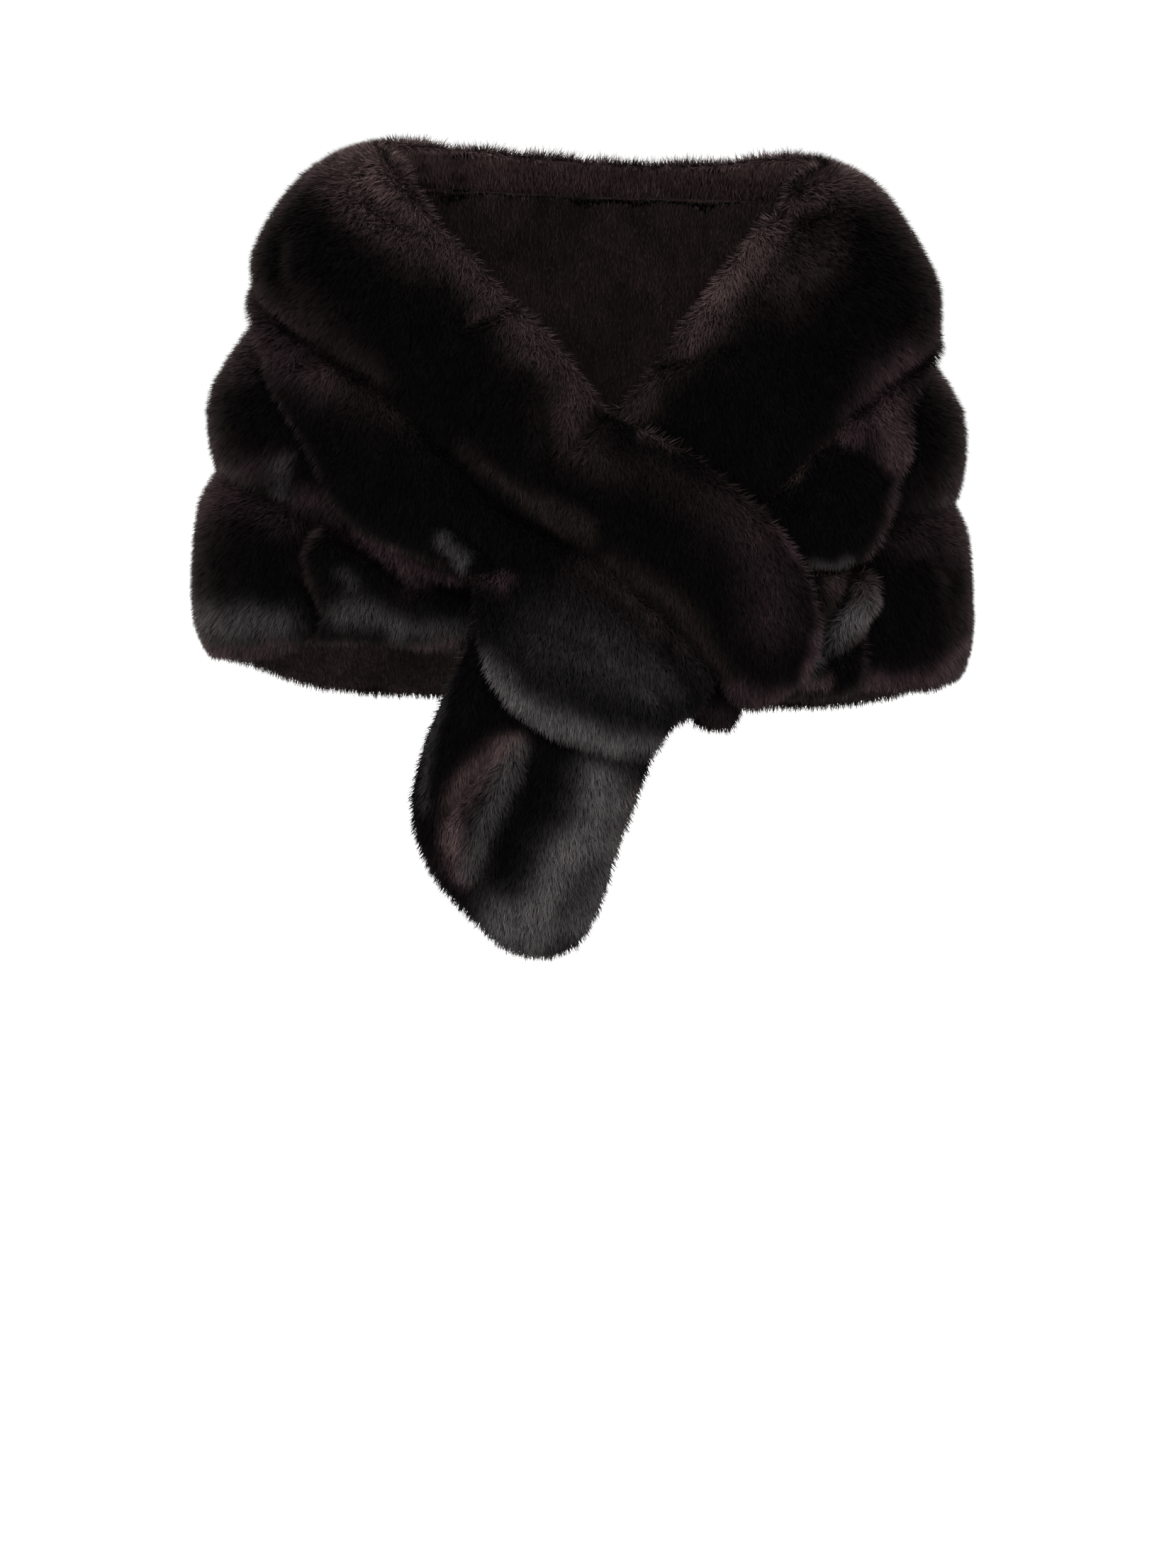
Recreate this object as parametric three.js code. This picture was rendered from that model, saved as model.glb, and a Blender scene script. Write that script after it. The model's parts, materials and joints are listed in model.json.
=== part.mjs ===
// Fur collar stole, held in its worn shape.
// Millimetres, +Z up. The wearer faces -Y, so the crossing of the two ends lies at -Y.
// The origin is on the body's axis, level with the shoulders, where the stole is held up.
//
// Every pelt row is a thick fur wall between two edge lines. An edge line is a short table of
// bearing round the wearer, height, and lift off the worn form, which is the surface the stole
// hangs on. Bearing 0 is the front, 90 the side at +X, -90 the side at -X, 180 the back.

import * as THREE from "three";

// Driving sizes
const SEAM_GAP = 0.3; // clear space between two rows sewn side by side
const RIM = 3; // half thickness of a wall at its edge
const BODY_UNDER = 8.5; // wall below the body's edge lines
const COLLAR_UNDER = 4.5; // wall below the collar's edge lines
const PRESSED = 6; // body wall above its edge lines where the collar lies on it
const PRESS_FADE = 0.15; // share of a row over which the pressed pile rises again
const ROUNDING = 5; // power of the rounded cross-section, higher is boxier
const FREE_END = 14; // length over which a free end thins out
const FORM_POWER = 2.3; // 2 is an ellipse, higher is squarer

// The worn form: half width and half depth of the wearer at each height
const FORM = readTable("height halfWidth halfDepth", [
  [-640, 312, 140],
  [-420, 312, 140],
  [-340, 310, 138],
  [-260, 304, 134],
  [-200, 296, 130],
  [-160, 287, 126],
  [-130, 276, 122],
  [-100, 259, 116],
  [-71, 240, 109],
  [-36, 216, 99],
  [-25, 207, 95],
  [-14, 197, 90],
  [-2, 182, 84],
  [8, 165, 78],
  [18, 143, 70],
  [30, 112, 60],
  [45, 62, 44],
  [60, 30, 30],
]);

// Colours: one near-black fur, a shade apart from row to row as the pelts are
const FUR = {
  body: [0x2b2427, 0.92],
  collar: [0x31282c, 0.92],
  front: [0x363034, 0.9],
};

// Neckline of the collar, from the -X shoulder down to the crossing
const NECK_LEFT = edge([
  [-88, 12, 31],
  [-72, 11, 31],
  [-56.6, 9.9, 30],
  [-38.5, -7.2, 28],
  [-27.6, -29.5, 28],
  [-18.1, -49.3, 30],
  [-12.4, -75.8, 32],
  [-7, -93.5, 34],
  [-2.7, -115.4, 38],
  [0.2, -140.9, 43],
  [2.6, -167.6, 49],
]);

// Seam between the two collar rows on the same side
const SEAM_LEFT = edge([
  [-94, -85, 26],
  [-78, -94, 26],
  [-51.1, -117.3, 26],
  [-36.4, -135.3, 26],
  [-29.9, -151.4, 26],
  [-21.7, -186.8, 28],
  [-14.9, -213.6, 30],
  [-9.7, -240.9, 34],
  [-3.7, -259.1, 40],
  [-1.5, -267.8, 45],
  [-0, -276.6, 49],
]);

// Free outer edge of the collar on the same side
const RIM_LEFT = edge([
  [-95, -100, 22],
  [-79, -105, 23],
  [-63.3, -127.9, 26],
  [-56.5, -153, 26],
  [-48.2, -182.5, 26],
  [-41, -217.6, 26],
  [-37.5, -245, 26],
  [-30.6, -267.5, 26],
  [-23.5, -280.1, 29],
  [-17.8, -288.1, 35],
  [-13.4, -296.6, 44],
]);

// The band that crosses the front, from the crossing to its rounded end
const BAND_TOP = edge([
  [2.6, -167.6, 49],
  [8.9, -183.1, 49],
  [16.1, -208.2, 49],
  [21.9, -236.4, 49],
  [26.7, -260.4, 49],
  [30.8, -298.4, 49],
  [32.5, -331.5, 49],
  [32, -359, 49],
  [29.7, -381, 49],
  [26.3, -395.9, 49],
]);
const BAND_LOW = edge([
  [-0, -276.6, 49],
  [3.5, -295.6, 49],
  [6.4, -311.1, 49],
  [9.2, -328.3, 49],
  [12.2, -345.7, 49],
  [14.6, -360.9, 49],
  [16.3, -373.2, 49],
  [17.3, -387.7, 49],
  [19.4, -400.6, 49],
  [22.4, -405.6, 49],
]);

// Lower edge of the flap that goes on from the outer row below the band
const FLAP_LOW = edge([
  [-13.4, -296.6, 44],
  [-12.5, -349.8, 49],
  [-8.9, -400.1, 49],
  [-0, -435.1, 49],
  [7.1, -446.5, 49],
  [9.9, -420.8, 49],
  [14.4, -404.6, 49],
]);

// Tucked lobe between the flap and the band
const LOBE_LEFT = edge([
  [11.8, -348.8, 34],
  [12, -377.8, 34],
  [12.4, -406.9, 34],
  [14.2, -422.2, 34],
]);
const LOBE_RIGHT = edge([
  [20.5, -349.7, 34],
  [20.9, -378.8, 34],
  [20.9, -407.9, 34],
  [18.8, -426.3, 34],
]);

// The other end of the stole, hanging from behind the flap
const TAIL_LEFT = edge([
  [-11.4, -322, 26],
  [-14.2, -354.7, 26],
  [-18, -397.7, 26],
  [-21.2, -441.8, 26],
  [-23.1, -485.7, 26],
  [-22.2, -519.7, 26],
  [-19.1, -553.5, 26],
  [-13.6, -587.2, 26],
  [-9.9, -607.4, 26],
  [-6.2, -615.7, 26],
]);
const TAIL_RIGHT = edge([
  [6.5, -321.7, 26],
  [7.2, -354.2, 26],
  [8.1, -396.9, 26],
  [8.1, -440.4, 26],
  [5.9, -483.7, 26],
  [4, -517.7, 26],
  [2.5, -552, 26],
  [0.9, -586.4, 26],
  [-0.8, -608.2, 26],
  [-3.5, -616.2, 26],
]);

// Gathered piece below the +X side of the collar, under the band
const GATHER_LEFT = edge([
  [25.5, -300.3, 26],
  [25.4, -314.3, 26],
  [25.7, -332.9, 26],
  [25.8, -356.2, 26],
  [25.8, -385.4, 26],
  [27.7, -401, 26],
]);
const GATHER_RIGHT = edge([
  [43.9, -298.3, 26],
  [46.8, -313.1, 26],
  [43.9, -336.8, 26],
  [43.1, -360, 26],
  [42.2, -390.4, 26],
  [38.1, -401, 26],
]);

// Collar on the +X side: neckline, seam and free edge, from the shoulder down
const NECK_RIGHT = edge([
  [90, 1, 30],
  [74, 0, 30],
  [57.7, -2, 28],
  [46.5, -18.1, 28],
  [38.3, -26.6, 28],
  [27.9, -49.5, 26],
  [18.1, -84, 26],
  [11.9, -114.7, 26],
  [7.9, -138.5, 26],
  [4.6, -158.7, 26],
  [2.1, -177.3, 26],
]);
const SEAM_RIGHT = edge([
  [94, -117, 26],
  [82, -126, 26],
  [71.7, -135.8, 26],
  [63.1, -142.3, 26],
  [53.7, -153.8, 26],
  [45.3, -169.5, 26],
  [37.9, -188.1, 26],
  [31.4, -213.5, 26],
  [25.5, -241.3, 26],
  [19.4, -272.3, 26],
  [14.4, -299.1, 26],
]);
const RIM_RIGHT = edge([
  [95, -131, 22],
  [83, -134, 23],
  [68.7, -145.2, 26],
  [60.2, -161.3, 26],
  [57.8, -185.6, 26],
  [56.1, -210.6, 26],
  [52.6, -229.7, 26],
  [48.9, -265.7, 26],
  [42.2, -292.6, 26],
  [28.6, -293.9, 26],
]);

// Collar round the back, from the -X shoulder to the +X shoulder
const NECK_BACK = edge([
  [-88, 12, 31],
  [-112, 16, 30],
  [-138, 17, 28],
  [-157, 14, 28],
  [-180, 9, 28],
  [-201, 6, 28],
  [-222, 6.5, 28],
  [-246, 6, 30],
  [-270, 1, 30],
]);
const SEAM_BACK = edge([
  [-94, -85, 26],
  [-115, -72, 26],
  [-138, -62, 27],
  [-160, -57, 27],
  [-180, -57, 27],
  [-202, -61, 27],
  [-226, -72, 27],
  [-246, -92, 26],
  [-266, -117, 26],
]);
const RIM_BACK = edge([
  [-95, -100, 22],
  [-115, -120, 24],
  [-138, -136, 26],
  [-160, -142, 26],
  [-180, -145, 26],
  [-202, -147, 26],
  [-226, -146, 26],
  [-246, -140, 24],
  [-265, -131, 22],
]);

// The body: top edge under the collar, seam between its two rows, and hem
const TOP_LEFT = edge([
  [-7, -128, 10],
  [-12, -100, 10],
  [-18, -74, 10],
  [-27, -52, 10],
  [-38, -30, 10],
  [-55, -10, 10],
  [-85, -4, 10],
  [-112, -3, 10],
]);
const WAIST_LEFT = edge([
  [-6, -318, 9],
  [-14, -317, 9],
  [-26, -300, 9],
  [-36, -273, 9],
  [-46, -256, 9],
  [-61, -241, 9],
  [-88, -231, 9],
  [-115, -245, 9],
]);
const HEM_LEFT = edge([
  [-5, -364, 9],
  [-15.6, -361, 9],
  [-25, -359, 9],
  [-33.2, -357, 9],
  [-44, -362, 9],
  [-60, -379, 9],
  [-88, -387, 9],
  [-115, -410, 9],
]);
const TOP_BACK = edge([
  [-112, -3, 10],
  [-135, -1, 10],
  [-158, -4, 10],
  [-180, -8, 10],
  [-202, -10, 10],
  [-226, -12, 10],
  [-248, -13, 10],
]);
const WAIST_BACK = edge([
  [-115, -245, 9],
  [-135, -265, 9],
  [-158, -282, 9],
  [-180, -290, 9],
  [-202, -289, 9],
  [-226, -280, 9],
  [-246, -268, 9],
]);
const HEM_BACK = edge([
  [-115, -410, 9],
  [-135, -440, 9],
  [-158, -452, 9],
  [-180, -458, 9],
  [-202, -462, 9],
  [-226, -455, 9],
  [-246, -432, 9],
]);
const TOP_RIGHT = edge([
  [112, -13, 10],
  [88, -16, 10],
  [60, -18, 10],
  [46, -36, 10],
  [33, -64, 10],
  [22, -96, 10],
  [14, -126, 10],
  [9, -150, 10],
]);
const WAIST_RIGHT = edge([
  [114, -268, 9],
  [89, -261, 9],
  [67, -258, 9],
  [55, -259, 9],
  [45, -272, 9],
  [33, -292, 9],
  [20, -304, 9],
  [8, -310, 9],
]);
const HEM_RIGHT = edge([
  [114, -432, 9],
  [88, -406, 9],
  [66, -408, 9],
  [54, -402, 9],
  [44, -398, 9],
  [33, -400, 9],
  [20, -398, 9],
  [8, -392, 9],
]);

// The pieces. over: wall above the edge lines at each station; covered: share of the row,
// from its upper edge, that the collar lies on; folds: soft troughs along the piece.
const PIECES = [
  {
    name: "upper_row_left",
    finish: "body",
    lines: [TOP_LEFT, WAIST_LEFT],
    over: [10, 10, 10, 11, 14, 21, 25, 24],
    covered: [1, 1, 1, 0.92, 0.79, 0.58, 0.4745, 0.5],
  },
  {
    name: "upper_row_back",
    finish: "body",
    lines: [TOP_BACK, WAIST_BACK],
    over: [24, 22, 19, 20, 19, 22, 24],
    covered: [0.5, 0.52, 0.52, 0.52, 0.52, 0.52, 0.5],
  },
  {
    name: "upper_row_right",
    finish: "body",
    lines: [TOP_RIGHT, WAIST_RIGHT],
    over: [24, 25, 22, 14, 11, 10, 10, 10],
    covered: [0.49, 0.49, 0.56, 0.86, 1, 1, 1, 1],
  },
  {
    name: "hem_row_left",
    finish: "body",
    lines: [WAIST_LEFT, HEM_LEFT],
    over: [9, 9.5, 10, 16, 12, 19, 20, 18],
  },
  {
    name: "hem_row_back",
    finish: "body",
    lines: [WAIST_BACK, HEM_BACK],
    over: [18, 18, 16, 18, 16, 18, 18],
  },
  {
    name: "hem_row_right",
    finish: "body",
    lines: [WAIST_RIGHT, HEM_RIGHT],
    over: [18, 17, 17, 14, 10, 10, 9.5, 9],
  },
  {
    name: "collar_inner_back",
    finish: "collar",
    lines: [NECK_BACK, SEAM_BACK],
    over: [21, 19, 17, 19, 17, 19, 18, 21, 26],
    neckRim: 6,
  },
  {
    name: "collar_outer_back",
    finish: "collar",
    lines: [SEAM_BACK, RIM_BACK],
    over: [6, 12, 15, 16, 15, 16, 15, 12, 6],
  },
  {
    name: "collar_inner_left",
    finish: "collar",
    lines: [NECK_LEFT, SEAM_LEFT],
    over: [21, 22, 20, 18, 16, 12, 16, 19, 18, 17, 15],
    neckRim: 6,
  },
  {
    name: "collar_outer_left",
    finish: "collar",
    lines: [SEAM_LEFT, RIM_LEFT],
    over: [6, 7, 12, 14, 13, 15, 16, 15, 13, 11, 9],
  },
  {
    name: "crossing_band",
    finish: "collar",
    lines: [BAND_TOP, BAND_LOW],
    over: [15, 13, 17, 18, 18, 18, 17, 16, 13, 8],
    neckRim: 4,
    freeEnd: true,
  },
  {
    name: "flap",
    finish: "front",
    lines: [BAND_LOW.slice(0, 7), FLAP_LOW],
    over: [8, 12, 15, 16, 15, 13, 8],
  },
  {
    name: "flap_lobe",
    finish: "front",
    lines: [LOBE_LEFT, LOBE_RIGHT],
    over: [9.6, 9.9, 9.9, 6],
    freeEnd: true,
  },
  {
    name: "tail",
    finish: "front",
    lines: [TAIL_LEFT, TAIL_RIGHT],
    over: [17.6, 18.1, 18.1, 17.8, 20, 21, 20, 18, 14, 9],
    under: [4.5, 4.5, 4.5, 8, 13, 15, 14, 12, 9, 6],
    folds: [
      { from: 0.34, to: 0.12, depth: 9, width: 0.07 },
      { from: 0.56, to: 0.3, depth: 7, width: 0.07 },
    ],
    across: 14,
    freeEnd: true,
  },
  {
    name: "gathered_front",
    finish: "front",
    lines: [GATHER_LEFT, GATHER_RIGHT],
    over: [10, 14, 16, 15, 14, 9],
    under: [6.6, 6.6, 6.6, 6.6, 6.6, 6.6],
    folds: [{ from: 0.7, to: 0.35, depth: 6, width: 0.1 }],
    across: 10,
    freeEnd: true,
  },
  {
    name: "collar_inner_right",
    finish: "collar",
    lines: [NECK_RIGHT, SEAM_RIGHT],
    over: [26, 25, 21, 18, 18, 17, 17, 16, 15, 12, 10],
    neckRim: 6,
  },
  {
    name: "collar_outer_right_upper",
    finish: "collar",
    lines: [SEAM_RIGHT.slice(0, 7), RIM_RIGHT.slice(0, 7)],
    over: [6, 7, 10, 12, 15, 15, 10],
  },
  {
    name: "collar_outer_right_lower",
    finish: "collar",
    lines: [SEAM_RIGHT.slice(6, 10), RIM_RIGHT.slice(6, 10)],
    over: [10, 16, 16, 10],
    steps: 4,
  },
];

// Reads a table whose columns are named in one string.
function readTable(columns, rows) {
  const names = columns.split(" ");
  return rows.map((row) => Object.fromEntries(names.map((name, i) => [name, row[i]])));
}

// Reads the stations of one edge line.
function edge(rows) {
  return readTable("bearing height lift", rows);
}

// Smooth value of a table's column between two of its rows, by position along the table.
function along(table, column, position) {
  const last = table.length - 1;
  const i = Math.min(Math.max(Math.floor(position), 0), last - 1);
  const t = position - i;
  const at = (k) => table[Math.min(Math.max(k, 0), last)][column];
  const slopeHere = (at(i + 1) - at(i - 1)) / (i > 0 ? 2 : 1);
  const slopeNext = (at(i + 2) - at(i)) / (i + 1 < last ? 2 : 1);
  return hermite(at(i), at(i + 1), slopeHere, slopeNext, t);
}

// Cubic from a to b with the slopes given at both ends.
function hermite(a, b, slopeA, slopeB, t) {
  const t2 = t * t;
  const t3 = t2 * t;
  return (2 * t3 - 3 * t2 + 1) * a + (t3 - 2 * t2 + t) * slopeA + (3 * t2 - 2 * t3) * b + (t3 - t2) * slopeB;
}

// Half width or half depth of the worn form at a height.
function formSize(column, height) {
  const last = FORM.length - 1;
  let i = 0;
  while (i < last - 1 && height > FORM[i + 1].height) {
    i += 1;
  }
  const span = FORM[i + 1].height - FORM[i].height;
  const slope = (k) => {
    const low = Math.max(k - 1, 0);
    const high = Math.min(k + 1, last);
    return (FORM[high][column] - FORM[low][column]) / (FORM[high].height - FORM[low].height);
  };
  const t = Math.min(Math.max((height - FORM[i].height) / span, 0), 1);
  return hermite(FORM[i][column], FORM[i + 1][column], slope(i) * span, slope(i + 1) * span, t);
}

// Point of the worn form at a bearing and height.
function onForm(bearing, height) {
  const angle = THREE.MathUtils.degToRad(bearing);
  const power = 2 / FORM_POWER;
  const bend = (value) => Math.sign(value) * Math.abs(value) ** power;
  const x = formSize("halfWidth", height) * bend(Math.sin(angle));
  const y = -formSize("halfDepth", height) * bend(Math.cos(angle));
  return new THREE.Vector3(x, y, height);
}

// Point off the form, lifted along its outward direction.
function lifted(bearing, height, lift) {
  const turn = 0.5;
  const rise = 2;
  const round = onForm(bearing + turn, height).sub(onForm(bearing - turn, height));
  const up = onForm(bearing, height + rise).sub(onForm(bearing, height - rise));
  const outward = round.cross(up).normalize();
  return onForm(bearing, height).addScaledVector(outward, lift);
}

// Soft step from 0 to 1 between two values.
function softStep(from, to, value) {
  const t = Math.min(Math.max((value - from) / (to - from), 0), 1);
  return t * t * (3 - 2 * t);
}

// Value of a per-station list at a position along the piece.
function listAt(list, position) {
  return along(list.map((value) => ({ value })), "value", position);
}

// Position of the edge line at a station and share across the row, as a point with an extra lift.
function pointBetween(lines, position, share, extra) {
  const [upper, lower] = lines;
  const mix = (column) => {
    const a = along(upper, column, position);
    const b = along(lower, column, position);
    return a + (b - a) * share;
  };
  return lifted(mix("bearing"), mix("height"), mix("lift") + extra);
}

// One cross-section of a piece: points of its outer face, then of its inner face.
function section(piece, position, thinning) {
  const across = piece.across ?? 8;
  const width = pointBetween(piece.lines, position, 0, 0).distanceTo(pointBetween(piece.lines, position, 1, 0));
  const inset = SEAM_GAP / 2 / width;
  const over = listAt(piece.over, position);
  const standard = piece.finish === "body" ? BODY_UNDER : COLLAR_UNDER;
  const under = piece.under ? listAt(piece.under, position) : standard;
  const covered = piece.covered ? listAt(piece.covered, position) : 0;
  const outer = [];
  const inner = [];
  for (let k = 0; k <= across; k += 1) {
    const even = k / across;
    const share = inset + (1 - 2 * inset) * (0.5 - 0.5 * Math.cos(Math.PI * even));
    const swell = (1 - Math.abs(2 * share - 1) ** ROUNDING) * thinning;
    const rim = RIM + ((piece.neckRim ?? RIM) - RIM) * (1 - softStep(0, 0.3, share));
    const raised = piece.covered ? softStep(covered, covered + PRESS_FADE, share) : 1;
    const height = piece.covered ? PRESSED + (over - PRESSED) * raised : over;
    const dip = foldDepth(piece, position, share);
    outer.push(pointBetween(piece.lines, position, share, rim + (height - rim) * swell - dip * swell));
    inner.push(pointBetween(piece.lines, position, share, -RIM - (under - RIM) * swell));
  }
  return { outer, inner };
}

// How deep the piece's folds are at one place.
function foldDepth(piece, position, share) {
  const progress = position / (piece.lines[0].length - 1);
  let depth = 0;
  for (const fold of piece.folds ?? []) {
    const centre = fold.from + (fold.to - fold.from) * progress;
    const fade = softStep(0, 0.2, progress) * (1 - softStep(0.7, 0.98, progress));
    depth += fold.depth * fade * Math.exp(-(((share - centre) / fold.width) ** 2));
  }
  return depth;
}

// Positions of a piece's sections, inset at both ends by half the seam gap.
function stations(piece) {
  const steps = piece.steps ?? 2;
  const last = piece.lines[0].length - 1;
  const middle = (position) => pointBetween(piece.lines, position, 0.5, 0);
  const startInset = SEAM_GAP / 2 / middle(0).distanceTo(middle(1));
  const endInset = SEAM_GAP / 2 / middle(last).distanceTo(middle(last - 1));
  const positions = [];
  for (let k = 0; k <= last * steps; k += 1) {
    positions.push(Math.min(Math.max(k / steps, startInset), last - endInset));
  }
  return positions;
}

// Share of the full swell at a position: a free end thins out to a rounded rim.
function endThinning(piece, position) {
  if (!piece.freeEnd) {
    return 1;
  }
  const last = piece.lines[0].length - 1;
  const tip = pointBetween(piece.lines, last, 0.5, 0);
  const distance = pointBetween(piece.lines, position, 0.5, 0).distanceTo(tip);
  const part = Math.min(distance / FREE_END, 1);
  return Math.sqrt(1 - (1 - part) ** 2);
}

// Closed wall through a piece's cross-sections.
function wall(piece) {
  const sections = stations(piece).map((position) => section(piece, position, endThinning(piece, position)));
  const rings = sections.map((cut) => [...cut.outer, ...[...cut.inner].reverse()]);
  const size = rings[0].length;
  const positions = rings.flat().flatMap((point) => [point.x, point.y, point.z]);
  const faces = [];
  const quad = (a, b, c, d) => faces.push(a, b, c, a, c, d);
  for (let i = 0; i + 1 < rings.length; i += 1) {
    for (let k = 0; k + 1 < size; k += 1) {
      quad(i * size + k, i * size + k + 1, (i + 1) * size + k + 1, (i + 1) * size + k);
    }
    // The closing strip is split the other way, to lie parallel to the row sewn beside it.
    quad(i * size, (i + 1) * size, (i + 2) * size - 1, (i + 1) * size - 1);
  }
  const end = (rings.length - 1) * size;
  for (let k = 0; k + 1 < size / 2; k += 1) {
    const back = size - 1 - k;
    quad(k, back, back - 1, k + 1);
    quad(end + k, end + k + 1, end + back - 1, end + back);
  }
  const geometry = new THREE.BufferGeometry();
  geometry.setAttribute("position", new THREE.Float32BufferAttribute(positions, 3));
  geometry.setIndex(faceOutward(positions, faces));
  geometry.computeVertexNormals();
  return geometry;
}

// Turns every face round if the closed surface holds a negative volume.
function faceOutward(positions, faces) {
  const point = (i) => new THREE.Vector3().fromArray(positions, i * 3);
  let volume = 0;
  for (let i = 0; i < faces.length; i += 3) {
    volume += point(faces[i]).dot(point(faces[i + 1]).cross(point(faces[i + 2])));
  }
  return volume > 0 ? faces : [...faces].reverse();
}

const stole = new THREE.Group();
stole.name = "fur_collar_stole";
for (const piece of PIECES) {
  const [color, roughness] = FUR[piece.finish];
  const material = new THREE.MeshStandardMaterial({ color, roughness, metalness: 0 });
  material.name = `${piece.name}_fur`;
  const mesh = new THREE.Mesh(wall(piece), material);
  mesh.name = piece.name;
  stole.add(mesh);
}

export default stole;
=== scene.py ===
"""Fur collar stole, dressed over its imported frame.

Every pelt row of the frame becomes a soft skin, a closed shell a little smaller than its solid,
and a dense short pile of hair blades grows from that skin. Colour patches, creases and the lie of
the nap are laid over the rows as named strokes and bands.

Metres, +Z up. The wearer faces -Y, so the crossing of the two ends lies at -Y.
"""

from __future__ import annotations

import json
import logging
import math
from dataclasses import dataclass, field
from enum import Enum
from functools import partial

import bmesh
import bpy
import numpy as np
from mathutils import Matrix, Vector, noise
from mathutils.bvhtree import BVHTree

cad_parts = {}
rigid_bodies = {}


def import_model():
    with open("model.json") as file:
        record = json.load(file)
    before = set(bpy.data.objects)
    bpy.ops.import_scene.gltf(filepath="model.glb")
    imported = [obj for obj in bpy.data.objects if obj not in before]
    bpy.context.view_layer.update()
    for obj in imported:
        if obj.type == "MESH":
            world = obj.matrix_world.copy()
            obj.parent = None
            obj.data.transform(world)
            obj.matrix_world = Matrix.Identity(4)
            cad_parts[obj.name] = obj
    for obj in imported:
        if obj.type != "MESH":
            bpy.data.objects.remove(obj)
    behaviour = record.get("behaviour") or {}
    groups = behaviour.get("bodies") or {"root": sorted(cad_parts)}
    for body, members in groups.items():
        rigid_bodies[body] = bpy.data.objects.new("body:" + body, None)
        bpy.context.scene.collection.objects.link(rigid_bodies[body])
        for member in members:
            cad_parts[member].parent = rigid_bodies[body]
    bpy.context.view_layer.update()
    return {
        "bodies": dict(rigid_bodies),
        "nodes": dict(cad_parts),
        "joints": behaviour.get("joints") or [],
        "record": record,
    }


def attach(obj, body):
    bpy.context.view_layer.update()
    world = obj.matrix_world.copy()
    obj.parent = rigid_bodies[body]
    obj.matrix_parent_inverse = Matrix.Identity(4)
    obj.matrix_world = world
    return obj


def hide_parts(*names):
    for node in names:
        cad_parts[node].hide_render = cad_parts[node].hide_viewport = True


LOG = logging.getLogger("stole")

MM = 0.001
SEWN_REACH = 3.5 * MM  # a rim this near another row is sewn to it
FAR = 1.0  # a ray that meets nothing
COVERED_FROM = 5 * MM  # a row this near above leaves no room for pile
COVERED_TO = 14 * MM  # and one this far above leaves all of it
OUTER_FACING = 0.3  # a face turned this far outwards is on the outer side
SEAM_PRESS = 3.5 * MM  # how far sewn rims press into each other

Points = np.ndarray
Pair = tuple[float, float]
Triple = tuple[float, float, float]
Rgb = Triple
Object = bpy.types.Object
Mesh = bpy.types.Mesh
Node = bpy.types.Node
Socket = bpy.types.NodeSocket


class Tone(Enum):
    """What a stroke or band does to the fur's colour, by the channel that it fills."""

    # painted sheen: grey laid where the pile catches the light
    SHEEN = 0
    # the fur's own plum tint, also laid as painted light on the lit tops of lumps
    PLUM = 1
    # the fur's own brown, also laid as painted highlights and painted glow on lit edges
    BROWN = 2
    # takes the others back to the near-black fur, also as painted shade in folds and troughs
    DARK = 3


class Side(Enum):
    """Which side of the stole a stroke is seen from."""

    FRONT = -1
    BACK = 1


class Across(Enum):
    """How the share across a row is measured, from its upper edge to its lower one."""

    BY_BEARING = "by bearing"
    BY_HEIGHT = "by height"


def soft_step(low: float, high: float, value: Points) -> Points:
    """Smooth step from 0 at low to 1 at high."""
    t = np.clip((value - low) / (high - low), 0, 1)
    return t * t * (3 - 2 * t)


def unit(vectors: Points) -> Points:
    """The vectors at length 1."""
    return vectors / np.maximum(np.linalg.norm(vectors, axis=1), 1e-9)[:, None]


def dot(a: Points, b: Points) -> Points:
    """Row by row dot product."""
    return (a * b).sum(axis=1)


def read(items: bpy.types.bpy_prop_collection, name: str, width: int) -> Points:
    """Reads one property of a mesh's elements.

    Args:
        items: vertices or polygons of a mesh.
        name: the property to read.
        width: how many numbers it has.

    Returns:
        An array with a row for each element.
    """
    flat = np.empty(len(items) * width, np.float32)
    items.foreach_get(name, flat)
    return flat.reshape(-1, width).astype(float)


@dataclass(frozen=True)
class Waves:
    """Smooth uneven waves.

    Args:
        height: of the tallest.
        scale: how many go in a metre.
        seed: moves the pattern.
    """

    height: float
    scale: float
    seed: float

    def at(self, points: Points) -> Points:
        """Their height at each point, up or down."""
        shift = Vector((self.seed, 2.7 * self.seed, -1.3 * self.seed))
        return self.height * np.array(
            [noise.noise(Vector(p) * self.scale + shift) for p in points]
        )


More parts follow.
